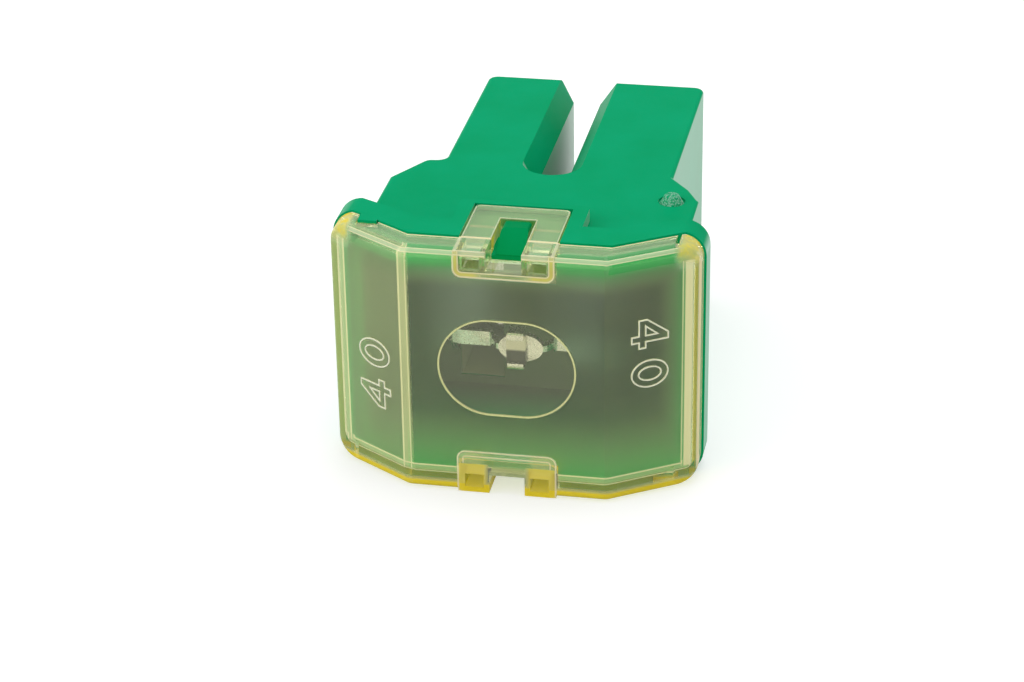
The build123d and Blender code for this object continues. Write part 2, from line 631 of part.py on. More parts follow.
tin_chip.part.label = "tin_chip"
export_step(tin_chip.part, "parts/tin_chip.step")
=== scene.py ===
"""Looks of the fusible link: its finishes, rating figures, stage, lights and camera."""

import logging
import math
from dataclasses import dataclass
from enum import Enum
from functools import reduce

import bmesh
import bpy
from mathutils import Matrix, Vector


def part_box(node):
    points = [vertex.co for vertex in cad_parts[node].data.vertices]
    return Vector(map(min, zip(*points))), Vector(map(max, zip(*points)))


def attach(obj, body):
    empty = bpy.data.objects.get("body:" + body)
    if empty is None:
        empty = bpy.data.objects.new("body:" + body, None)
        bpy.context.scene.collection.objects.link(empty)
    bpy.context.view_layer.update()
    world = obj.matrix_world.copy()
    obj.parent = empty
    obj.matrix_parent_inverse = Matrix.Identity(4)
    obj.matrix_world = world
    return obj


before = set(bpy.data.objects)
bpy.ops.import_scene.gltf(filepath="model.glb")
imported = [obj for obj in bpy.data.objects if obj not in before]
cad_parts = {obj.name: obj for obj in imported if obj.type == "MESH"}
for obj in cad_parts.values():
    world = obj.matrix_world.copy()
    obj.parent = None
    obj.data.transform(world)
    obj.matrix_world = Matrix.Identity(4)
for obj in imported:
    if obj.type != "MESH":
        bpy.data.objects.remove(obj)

LOG = logging.getLogger("fusible_link")
MM = 0.001
BODY = "root"
WHITE = (1.0, 1.0, 1.0)
SOFT_EDGE = 0.06 * MM
NOISE_LOW = 0.3
NOISE_HIGH = 0.7

Colour = tuple[float, float, float]
Place = tuple[float, float, float]
Limits = tuple[float, float]
FlatPoint = tuple[float, float]
Socket = bpy.types.NodeSocket
Value = Socket | float | Colour


class Side(Enum):
    """The two sloping facets of the cover, as the sign of X."""

    LEFT = -1
    RIGHT = 1


class Op(Enum):
    """Arithmetic that the finishes use between two values."""

    ADD = "ADD"
    SUBTRACT = "SUBTRACT"
    MULTIPLY = "MULTIPLY"
    MAXIMUM = "MAXIMUM"
    MINIMUM = "MINIMUM"
    LESS = "LESS_THAN"
    GREATER = "GREATER_THAN"
    POWER = "POWER"


@dataclass(frozen=True)
class LinkFrame:
    """Places of the link that the finishes and figures are laid out from, in metres.

    Args:
        front_y: Plane of the cover's centre facet.
        mid_z: Height of the middle of the link.
        crease_x: Distance of the two creases from the middle.
        facet_rise: How far a facet goes back for each metre outwards.
        face_wall: Thickness of the cover's front wall.
    """

    front_y: float
    mid_z: float
    crease_x: float = 5.44 * MM
    facet_rise: float = 0.641
    face_wall: float = 0.85 * MM

    @classmethod
    def from_nodes(cls) -> "LinkFrame":
        """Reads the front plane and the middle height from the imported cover."""
        low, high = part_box("cover")
        return cls(front_y=low.y, mid_z=(low.z + high.z) / 2)

    def on_facet(self, side: Side, along: float, up: float, out: float) -> Vector:
        """Point on a sloping facet.

        Args:
            side: Which facet.
            along: Distance from the crease, measured along the facet.
            up: Height above the middle of the link.
            out: Distance in front of the facet.

        Returns:
            The point in the link's frame.
        """
        length = math.hypot(1.0, self.facet_rise)
        step_x, step_y = 1.0 / length, self.facet_rise / length
        x = self.crease_x + along * step_x + out * step_y
        y = self.front_y + along * step_y - out * step_x
        return Vector((side.value * x, y, self.mid_z + up))


class Graph:
    """Node tree with short calls for the nodes used here."""

    def __init__(self, tree: bpy.types.NodeTree) -> None:
        """Takes the tree that every call adds to."""
        self.tree = tree

    def put(self, target: Socket, value: Value) -> None:
        """Links a socket to an input, or sets the input's value.

        Args:
            target: The input.
            value: Socket, number or colour that it gets.
        """
        if isinstance(value, Socket):
            self.tree.links.new(value, target)
        elif isinstance(value, tuple):
            target.default_value = (*value, 1.0)
        else:
            target.default_value = value

    def node(self, kind: str, **inputs: Value) -> bpy.types.Node:
        """Adds a node.

        Args:
            kind: Type name without the ShaderNode prefix.
            **inputs: Values or sockets for its inputs, with _ for a space.

        Returns:
            The new node.
        """
        made = self.tree.nodes.new("ShaderNode" + kind)
        for key, value in inputs.items():
            self.put(made.inputs[key.replace("_", " ")], value)
        return made

    def math(self, op: Op, first: Value, second: Value) -> Socket:
        """Combines two values.

        Args:
            op: The arithmetic.
            first: First value or socket.
            second: Second value or socket.

        Returns:
            The result's socket.
        """
        made = self.node("Math")
        made.operation = op.value
        self.put(made.inputs[0], first)
        self.put(made.inputs[1], second)
        return made.outputs[0]

    def plus(self, first: Value, second: Value) -> Socket:
        """Sum of two values."""
        return self.math(Op.ADD, first, second)

    def minus(self, first: Value, second: Value) -> Socket:
        """First value less the second."""
        return self.math(Op.SUBTRACT, first, second)

    def times(self, first: Value, second: Value) -> Socket:
        """Product of two values."""
        return self.math(Op.MULTIPLY, first, second)

    def larger(self, first: Value, second: Value) -> Socket:
        """Larger of two values."""
        return self.math(Op.MAXIMUM, first, second)

    def opposite(self, share: Socket) -> Socket:
        """What a share leaves of 1."""
        return self.minus(1.0, share)

    def absolute(self, value: Socket) -> Socket:
        """Size of a value without its sign."""
        return self.larger(value, self.times(value, -1.0))

    def squares(self, first: Socket, second: Socket) -> Socket:
        """Sum of the squares of two values."""
        return self.plus(self.times(first, first), self.times(second, second))

    def all_of(self, *tests: Socket) -> Socket:
        """1 where every test is 1, and otherwise their product."""
        return reduce(self.times, tests)

    def any_of(self, *tests: Socket) -> Socket:
        """1 where some test is 1, and otherwise the largest of them."""
        return reduce(self.larger, tests)

    def span(self, value: Socket, low: float, high: float, to_low: Value, to_high: Value) -> Socket:
        """Maps a value from one span to another and clamps it.

        Args:
            value: The value.
            low: Start of its span.
            high: End of its span.
            to_low: Result at the start.
            to_high: Result at the end.

        Returns:
            The result's socket.
        """
        made = self.node("MapRange", Value=value, From_Min=low, From_Max=high)
        self.put(made.inputs["To Min"], to_low)
        self.put(made.inputs["To Max"], to_high)
        return made.outputs["Result"]

    def above(self, value: Socket, edge: float, soft: float = SOFT_EDGE) -> Socket:
        """1 where a value is above an edge, with a soft step."""
        return self.span(value, edge - soft / 2, edge + soft / 2, 0.0, 1.0)

    def below(self, value: Socket, edge: float, soft: float = SOFT_EDGE) -> Socket:
        """1 where a value is below an edge, with a soft step."""
        return self.span(value, edge - soft / 2, edge + soft / 2, 1.0, 0.0)

    def within(self, value: Socket, low: float, high: float) -> Socket:
        """1 where a value lies between two limits, with soft steps."""
        return self.times(self.above(value, low), self.below(value, high))

    def banded(self, value: Socket, limits: Limits, line: float, fill: float) -> Socket:
        """Pale band between two limits, with a brighter line along each side.

        Args:
            value: Distance across the band.
            limits: Where the band starts and ends.
            line: Width of each line.
            fill: Strength of the band between the lines.

        Returns:
            Strength of the band, from 0 to 1.
        """
        low, high = limits
        return self.any_of(
            self.times(self.within(value, low, high), fill),
            self.within(value, low, low + line),
            self.within(value, high - line, high),
        )

    def ramp(self, value: Socket, stops: list[tuple[float, Colour]]) -> Socket:
        """Colour ramp over a value.

        Args:
            value: What drives the ramp.
            stops: Places and colours in rising order.

        Returns:
            The colour's socket.
        """
        made = self.node("ValToRGB", Fac=value)
        elements = made.color_ramp.elements
        while len(elements) < len(stops):
            elements.new(0.5)
        for element, (place, colour) in zip(elements, stops):
            element.position = place
            element.color = (*colour, 1.0)
        return made.outputs["Color"]

    def blend(self, share: Socket, first: Value, second: Value) -> Socket:
        """Mixes two colours.

        Args:
            share: Share of the second colour.
            first: First colour or socket.
            second: Second colour or socket.

        Returns:
            The mixed colour's socket.
        """
        made = self.node("Mix")
        made.data_type = "RGBA"
        self.put(made.inputs[0], share)
        self.put(made.inputs[6], first)
        self.put(made.inputs[7], second)
        return made.outputs[2]

    def layer(self, share: Socket, first: Socket, second: Socket) -> Socket:
        """Mixes two shaders.

        Args:
            share: Share of the second shader.
            first: First shader.
            second: Second shader.

        Returns:
            The mixed shader's socket.
        """
        made = self.node("MixShader", Fac=share)
        self.put(made.inputs[1], first)
        self.put(made.inputs[2], second)
        return made.outputs[0]

    def place(self) -> Socket:
        """Position on the piece in its own frame."""
        return self.node("TexCoord").outputs["Object"]

    def axes(self) -> tuple[Socket, Socket, Socket]:
        """The three parts of the position on the piece."""
        made = self.node("SeparateXYZ", Vector=self.place())
        return made.outputs[0], made.outputs[1], made.outputs[2]

    def facing(self) -> tuple[Socket, Socket, Socket]:
        """The three parts of the direction that the surface faces."""
        made = self.node("SeparateXYZ", Vector=self.node("NewGeometry").outputs["Normal"])
        return made.outputs[0], made.outputs[1], made.outputs[2]

    def noise(self, grain: float, detail: float = 2.0, roughness: float = 0.5) -> Socket:
        """Noise with a given size of grain.

        Args:
            grain: Size of one grain in metres.
            detail: How many finer layers it has.
            roughness: Strength of the finer layers.

        Returns:
            A value between 0 and 1.
        """
        made = self.node(
            "TexNoise", Vector=self.place(), Scale=1.0 / grain, Detail=detail, Roughness=roughness
        )
        return made.outputs[0]

    def bump(self, height: Socket, depth: float, normal: Socket | None = None) -> Socket:
        """Normal that follows a height.

        Args:
            height: Height between 0 and 1.
            depth: What a height of 1 is, in metres.
            normal: Normal that it builds on.

        Returns:
            The normal's socket.
        """
        made = self.node("Bump", Height=height, Distance=depth, Strength=1.0)
        if normal is not None:
            self.put(made.inputs["Normal"], normal)
        return made.outputs["Normal"]

    def looked_at(self) -> Socket:
        """Finds the rays that show the stage to the eye, straight, mirrored or through the cover.

        Returns:
            1 on such a ray.
        """
        path = self.node("LightPath")
        kinds = ("Is Camera Ray", "Is Glossy Ray", "Is Transmission Ray")
        return self.any_of(*[path.outputs[kind] for kind in kinds])


class Coat(Graph):
    """Node graph of one material."""

    def __init__(self, name: str) -> None:
        """Makes an empty material.

        Args:
            name: Name of the material.
        """
        self.material = bpy.data.materials.new(name)
        self.material.use_nodes = True
        super().__init__(self.material.node_tree)
        self.tree.nodes.clear()
        self.out = self.node("OutputMaterial")

    def surface(self, shader: Socket) -> bpy.types.Material:
        """Ends the tree in a surface shader and returns the material."""
        self.put(self.out.inputs["Surface"], shader)
        return self.material


@dataclass(frozen=True)
class GateStub:
    """Crystalline stub of the gate in the round moulding mark, with painted glints at the crystals'
    middles.

    Args:
        x: Place of the mark across the link.
        y: Place of the mark along the link.
        radius: Radius of the stub.
        face: Height of the face around the mark, above the middle of the link.
        sunk: How far below that face the stub begins.
        colour: Pale colour painted at the crystals' middles as glints.
        pale_at: Distance from a crystal's middle up to which the colour is full.
        green_at: Distance from there on which it is the moulding's own.
        crystal: Size of a crystal.
        depth: Height of a crystal.
    """

    x: float = 7.49 * MM
    y: float = -3.545 * MM
    radius: float = 0.66 * MM
    face: float = 6.51 * MM
    sunk: float = 0.15 * MM
    colour: Colour = (0.30, 0.58, 0.44)
    pale_at: float = 0.1
    green_at: float = 0.75
    crystal: float = 0.10 * MM
    depth: float = 0.035 * MM

    def mask(self, graph: Graph, places: LinkFrame) -> Socket:
        """1 on the stub.

        Args:
            graph: The finish being made.
            places: Where the link lies.

        Returns:
            The mask's socket.
        """
        x, y, z = graph.axes()
        square = graph.squares(graph.minus(x, self.x), graph.minus(y, self.y))
        inside = graph.math(Op.LESS, square, self.radius**2)
        upper = graph.math(Op.GREATER, z, places.mid_z + self.face - self.sunk)
        return graph.all_of(inside, upper)


@dataclass(frozen=True)
class InnerShade:
    """Painted shade and light inside the chamber, deep in the sockets and on the catches.

    Depths count back from the cover's front, levels up from the middle of the link.

    Args:
        chamber: Painted shade of the chamber behind the window.
        chamber_low_light: Painted light on its lower front part.
        half_w: Half the width of the chamber.
        half_h: Half the height of the chamber and the sockets.
        end: Depth of the chamber's floor.
        corner: Width and depth together at the chamber's sloped corners.
        low_full: Level below which the lower colour is full.
        low_gone: Level above which it is gone.
        near_full: Depth up to which it is full.
        near_gone: Depth beyond which it is gone.
        socket: Painted light deep in the sockets.
        socket_x: Distances of the sockets' sides from the middle.
        socket_depth: Depths between which the sockets have that colour.
        catch: Painted shade on the catches.
        catch_half_w: Half the width of a catch.
        catch_level: Level from which a catch stands up.
        catch_end: Depth of its end.
    """

    chamber: Colour = (0.12, 0.185, 0.115)
    chamber_low_light: Colour = (0.04, 0.46, 0.19)
    half_w: float = 7.95 * MM
    half_h: float = 5.85 * MM
    end: float = 10.25 * MM
    corner: float = 16.9 * MM
    low_full: float = -5.6 * MM
    low_gone: float = -4.0 * MM
    near_full: float = 6.5 * MM
    near_gone: float = 10.0 * MM
    socket: Colour = (0.50, 0.56, 0.42)
    socket_x: Limits = (1.7 * MM, 5.2 * MM)
    socket_depth: Limits = (10.35 * MM, 20.0 * MM)
    catch: Colour = (0.0, 0.28, 0.085)
    catch_half_w: float = 1.0 * MM
    catch_level: float = 6.2 * MM
    catch_end: float = 4.4 * MM

    def colour(self, graph: Graph, places: LinkFrame, base: Socket) -> Socket:
        """Paints shade and light into the housing's colour in these three places.

        Args:
            graph: The finish being made.
            places: Where the link lies.
            base: Colour of the rest.

        Returns:
            The colour's socket.
        """
        x, y, z = graph.axes()
        size_x = graph.absolute(x)
        depth = graph.minus(y, places.front_y)
        level = graph.minus(z, places.mid_z)
        size_z = graph.absolute(level)
        inner_height = graph.below(size_z, self.half_h)
        lower = graph.all_of(
            graph.span(level, self.low_full, self.low_gone, 1.0, 0.0),
            graph.span(depth, self.near_full, self.near_gone, 1.0, 0.0),
        )
        chamber = graph.all_of(
            graph.below(size_x, self.half_w), inner_height, graph.below(depth, self.end),
            graph.below(graph.plus(size_x, depth), self.corner),
        )
        socket = graph.all_of(
            graph.within(size_x, *self.socket_x), inner_height, graph.within(depth, *self.socket_depth)
        )
        catch = graph.all_of(
            graph.below(size_x, self.catch_half_w), graph.above(size_z, self.catch_level),
            graph.below(depth, self.catch_end),
        )
        # Painted shade in the chamber with painted light on its lower front part, painted light deep in the
        # sockets, painted shade on the catches.
        colour = graph.blend(chamber, base, graph.blend(lower, self.chamber, self.chamber_low_light))
        colour = graph.blend(socket, colour, self.socket)
        return graph.blend(catch, colour, self.catch)


@dataclass(frozen=True)
class GreenNylon:
    """Glass-filled green nylon of the housing, satin with a fine moulded grain.

    Args:
        colour: Green of the moulding.
        pale: Paler green of its clouds.
        cloud: Size of a cloud.
        roughness: Middle roughness of the skin.
        roughness_spread: How far the flecks move it either way.
        fleck: Size of a fleck.
        fleck_low: Noise below which a fleck is as smooth as can be.
        fleck_high: Noise above which it is as rough as can be.
        grain: Size of the moulded grain.
        grain_rough: Strength of the grain's finer layers.
        grain_depth: Depth of the grain.
        index: Refractive index.
        specular: Strength of the mirror part.
        sheen: How strong the sheen is, from looked at squarely, 0, to glancing, 1.
        sheen_right: Share of the sheen on faces turned right, higher as painted light from the right.
        sheen_left: Share of it on faces turned left, lower as painted shade on that side.
        turned: How far a face is turned for the full share.
        stub: The stub in the moulding mark.
        shade: The painted shade and light inside.
    """

    colour: Colour = (0.001, 0.355, 0.140)
    pale: Colour = (0.002, 0.385, 0.165)
    cloud: float = 3.0 * MM
    roughness: float = 0.46
    roughness_spread: float = 0.06
    fleck: float = 0.05 * MM
    fleck_low: float = 0.25
    fleck_high: float = 0.75
    grain: float = 0.09 * MM
    grain_rough: float = 0.6
    grain_depth: float = 0.0035 * MM
    index: float = 1.5
    specular: float = 0.01
    sheen: tuple[FlatPoint, ...] = ((0.68, 0.0), (0.82, 1.0), (0.86, 1.0), (0.96, 0.25))
    sheen_right: float = 0.38
    sheen_left: float = 0.1
    turned: float = 0.6
    stub: GateStub = GateStub()
    shade: InnerShade = InnerShade()

    def skin_share(self, graph: Graph) -> Socket:
        """Works out how strong the pale sheen is, painted stronger on faces turned right.

        Args:
            graph: The finish being made.

        Returns:
            Share of the sheen, from 0 to 1.
        """
        glance = graph.node("LayerWeight").outputs["Facing"]
        rise = graph.ramp(glance, [(place, (share,) * 3) for place, share in self.sheen])
        # Faces turned right get more sheen than faces turned left: painted light from the right.
        turn = graph.span(graph.facing()[0], -self.turned, self.turned, self.sheen_left, self.sheen_right)
        return graph.times(rise, turn)

    def make(self, places: LinkFrame) -> bpy.types.Material:
        """Makes the material.

        Args:
            places: Where the link lies.

        Returns:
            The material.
        """
        coat = Coat("green_nylon")
        mask = self.stub.mask(coat, places)
        cloud = coat.noise(self.cloud, detail=3.0)
        base = coat.ramp(cloud, [(NOISE_LOW, self.colour), (NOISE_HIGH, self.pale)])
        # Pale spots at the middles of the stub's crystals: painted glints.
        cells = coat.node("TexVoronoi", Vector=coat.place(), Scale=1.0 / self.stub.crystal)
        crystal = cells.outputs["Distance"]
        stops = [(self.stub.pale_at, self.stub.colour), (self.stub.green_at, self.colour)]
        glint = coat.ramp(crystal, stops)
        # Painted shade and light inside the housing.
        colour = self.shade.colour(coat, places, coat.blend(mask, base, glint))
        fine = coat.noise(self.grain, detail=3.0, roughness=self.grain_rough)
        fleck = coat.noise(self.fleck, detail=1.0)
        roughness = coat.span(
            fleck, self.fleck_low, self.fleck_high,
            self.roughness - self.roughness_spread, self.roughness + self.roughness_spread,
        )
        normal = coat.bump(fine, self.grain_depth)
        normal = coat.bump(coat.times(crystal, mask), self.stub.depth, normal)
        body = coat.node("BsdfPrincipled", Base_Color=colour, Roughness=roughness, Normal=normal)
        body.inputs["IOR"].default_value = self.index
        body.inputs["Specular IOR Level"].default_value = self.specular
        skin = coat.node("BsdfGlossy", Roughness=roughness, Normal=normal, Color=WHITE)
        return coat.surface(coat.layer(self.skin_share(coat), body.outputs[0], skin.outputs[0]))


@dataclass(frozen=True)
class CoverShape:
    """Sizes of the cover that its finish and its window's bead are laid out from.

    Depths count back from the front and its facets, heights from the middle of the link.

    Args:
        half_w: Half the width.
        half_h: Half the height without the straps.
        inner_half_w: Half the width that the back of the front wall takes.
        inner_half_h: Half the height that it takes.
        wall: Depths between which the back of the front wall lies.
        skirt_depth: Depth of the skirt's open edge beside the straps.
        strap_half_w: Half the width of a latch strap.
        strap_end: Depth of a strap's end.
        hole_half_w: Half the width of the hole in a strap.
        hole_end: Depth of that hole's end.
        hole_deep: How far the hole's sides reach in.
        latch_half_w: Half the width of a latch frame.
        latch_z: Height of the foot of a latch.
        upper_frame: Level of the lower edge of the upper latch frame.
        lower_frame: Level of the upper edge of the lower latch frame.
        frame_round: Radius of a latch frame's corners.
        frame_width: Width of a latch frame's rim.
        oval_z: Level of the middle of the oval window.
        oval_half_flat: Half the straight run at the top and bottom of the window.
        oval_radius: Radius of the window's ends.
        oval_step: Depth of the step around the window in the wall's back.
    """

    half_w: float = 9.97 * MM
    half_h: float = 7.10 * MM
    inner_half_w: float = 9.36 * MM
    inner_half_h: float = 6.5 * MM
    wall: Limits = (0.45 * MM, 1.15 * MM)
    skirt_depth: float = 1.82 * MM
    strap_half_w: float = 2.57 * MM
    strap_end: float = 5.95 * MM
    hole_half_w: float = 0.97 * MM
    hole_end: float = 4.44 * MM
    hole_deep: float = 1.05 * MM
    latch_half_w: float = 2.72 * MM
    latch_z: float = 5.42 * MM
    upper_frame: float = 5.66 * MM
    lower_frame: float = -4.64 * MM
    frame_round: float = 0.50 * MM
    frame_width: float = 0.34 * MM
    oval_z: float = 0.2 * MM
    oval_half_flat: float = 0.89 * MM
    oval_radius: float = 2.85 * MM
    oval_step: float = 0.12 * MM


@dataclass(frozen=True)
class Spot:
    """Where a point of the cover lies, as sockets of its finish.

    Args:
        x: Distance to the right of the middle.
        size_x: Distance from the middle, to either side.
        level: Height above the middle of the link.
        size_z: Height above or below the middle.
        depth: Distance behind the front, measured back from the facets.
        side: Distance in from the nearer side of the cover.
        rim: Distance in from the outline of the front.
        inside: 1 where the surface is met from within the plastic.
    """

    x: Socket
    size_x: Socket
    level: Socket
    size_z: Socket
    depth: Socket
    side: Socket
    rim: Socket
    inside: Socket

    @classmethod
    def on_cover(cls, graph: Graph, places: LinkFrame, shape: CoverShape) -> "Spot":
        """Works out where a point of the cover lies.

        Args:
            graph: The finish being made.
            places: Where the cover lies.
            shape: Its sizes.

        Returns:
            The point's distances.
        """
        x, y, z = graph.axes()
        size_x = graph.absolute(x)
        level = graph.minus(z, places.mid_z)
        size_z = graph.absolute(level)
        past_crease = graph.larger(graph.minus(size_x, places.crease_x), 0.0)
        back = graph.times(past_crease, places.facet_rise)
        depth = graph.minus(graph.minus(y, places.front_y), back)
        side = graph.minus(shape.half_w, size_x)
        rim = graph.math(Op.MINIMUM, side, graph.minus(shape.half_h, size_z))
        inside = graph.node("NewGeometry").outputs["Backfacing"]
        return cls(x, size_x, level, size_z, depth, side, rim, inside)


@dataclass(frozen=True)
class LatchFrames:
    """Rounded frames around the two latches, on the front of the cover.

    Args:
        shape: The cover's sizes.
        skin: Depth up to which a point is on the front.
    """

    shape: CoverShape
    skin: float = 0.05 * MM

    def gap(self, graph: Graph, across: Socket, along: Socket) -> Socket:
        """Works out the distance in from a rounded corner.

        Args:
            graph: The finish being made.
            across: Distance sideways from the middle of the rounding.
            along: Distance from it towards the middle of the cover.

        Returns:
            The distance, which stops at the rounding's radius.
        """
        square = graph.squares(graph.larger(across, 0.0), graph.larger(along, 0.0))
        return graph.minus(self.shape.frame_round, graph.math(Op.POWER, square, 0.5))

    def upper_gap(self, graph: Graph, spot: Spot) -> Socket:
        """Distance in from the outline of the upper latch frame.

        Args:
            graph: The finish being made.
            spot: Where the point lies.

        Returns:
            The distance's socket.
        """
        across = graph.minus(spot.size_x, self.shape.latch_half_w - self.shape.frame_round)
        along = graph.minus(self.shape.upper_frame + self.shape.frame_round, spot.level)
        return self.gap(graph, across, along)

    def lower_gap(self, graph: Graph, spot: Spot) -> Socket:
        """Distance in from the outline of the lower latch frame.

        Args:
            graph: The finish being made.
            spot: Where the point lies.

        Returns:
            The distance's socket.
        """
        across = graph.minus(spot.size_x, self.shape.latch_half_w - self.shape.frame_round)
        along = graph.minus(spot.level, self.shape.lower_frame - self.shape.frame_round)
        return self.gap(graph, across, along)

    def on_front(self, graph: Graph, spot: Spot) -> Socket:
        """1 on the front of the cover."""
        return graph.below(spot.depth, self.skin)

    def on_lower_front(self, graph: Graph, spot: Spot) -> Socket:
        """1 on the lower half of the front."""
        return graph.times(self.on_front(graph, spot), graph.below(spot.level, 0.0))


@dataclass(frozen=True)
class FrostedWall:
    """Back of the cover's front wall, frosted around the oval window.

    Args:
        shape: The cover's sizes.
        tint: Tint of the light that the frosting lets through, which darkens what lies behind as painted
            shade.
        painted_shade_tint: The same at the upper right, darker still as painted shade.
        dark_x: Places between which the tint darkens to the right.
        dark_level: Levels between which it darkens upwards.
        low: Levels between which the painted green light of the lower border fades.
        rim: Distances from the outline between which the painted green light of the rim fades.
    """

    shape: CoverShape
    tint: Colour = (0.57, 0.93, 0.87)
    painted_shade_tint: Colour = (0.23, 0.48, 0.42)
    dark_x: Limits = (-4.0 * MM, 5.0 * MM)
    dark_level: Limits = (-5.5 * MM, -1.0 * MM)
    low: Limits = (-6.0 * MM, -2.5 * MM)
    rim: Limits = (1.1 * MM, 2.3 * MM)

    def wall(self, graph: Graph, spot: Spot) -> Socket:
        """Marks the back of the front wall, without the latches.

        Args:
            graph: The finish being made.
            spot: Where the point lies.

        Returns:
            The mask's socket.
        """
        near, far = self.shape.wall
        wall = graph.all_of(
            graph.math(Op.GREATER, spot.depth, near),
            graph.math(Op.LESS, spot.depth, far),
            graph.math(Op.LESS, spot.size_x, self.shape.inner_half_w),
            graph.math(Op.LESS, spot.size_z, self.shape.inner_half_h),
        )
        latch = graph.all_of(
            graph.math(Op.LESS, spot.size_x, self.shape.latch_half_w),
            graph.math(Op.GREATER, spot.size_z, self.shape.latch_z),
        )
        return graph.times(wall, graph.opposite(latch))

    def oval(self, graph: Graph, spot: Spot) -> Socket:
        """Marks the oval window.

        Args:
            graph: The finish being made.
            spot: Where the point lies.

        Returns:
            The mask's socket.
        """
        across = graph.larger(graph.minus(spot.size_x, self.shape.oval_half_flat), 0.0)
        up = graph.minus(spot.level, self.shape.oval_z)
        return graph.math(Op.LESS, graph.squares(across, up), self.shape.oval_radius**2)

    def through_colour(self, graph: Graph, spot: Spot, frosted: Socket) -> Socket:
        """Tints the light that comes through the frosted wall, with painted shade that is darkest at the
        upper right.

        Args:
            graph: The finish being made.
            spot: Where the point lies.
            frosted: 1 on the frosted wall.

        Returns:
            The colour's socket.
        """
        # Painted shade on what is seen through the frosting, darkest at the upper right.
        dark = graph.all_of(
            graph.span(spot.x, *self.dark_x, 0.0, 1.0), graph.span(spot.level, *self.dark_level, 0.0, 1.0)
        )
        return graph.blend(frosted, WHITE, graph.blend(dark, self.tint, self.painted_shade_tint))

    def border(self, graph: Graph, spot: Spot) -> Socket:
        """Marks the borders of the wall, where green light bounced from the housing is painted.

        Args:
            graph: The finish being made.
            spot: Where the point lies.

        Returns:
            Strength of the border, from 0 to 1.
        """
        # Painted green light bounced from the housing, along the lower border and the rim.
        low = graph.span(spot.level, *self.low, 1.0, 0.0)
        rim = graph.span(spot.rim, *self.rim, 1.0, 0.0)
        return graph.any_of(low, rim)


@dataclass(frozen=True)
class RimStrip:
    """Strip below the cover's upper edge through which the housing's rim shows green.

    Args:
        x: Places of its two ends.
        level: Levels of its lower and upper side.
        depth: Depths between which it lies.
        share: How strong it is.
    """

    x: Limits
    level: Limits
    depth: Limits
    share: float

    def mask(self, graph: Graph, spot: Spot) -> Socket:
        """Marks the strip.

        Args:
            graph: The finish being made.
            spot: Where the point lies.

        Returns:
            Strength of the strip, from 0 to 1.
        """
        strip = graph.all_of(
            graph.within(spot.x, *self.x), graph.within(spot.level, *self.level),
            graph.within(spot.depth, *self.depth),
        )
        return graph.times(strip, self.share)


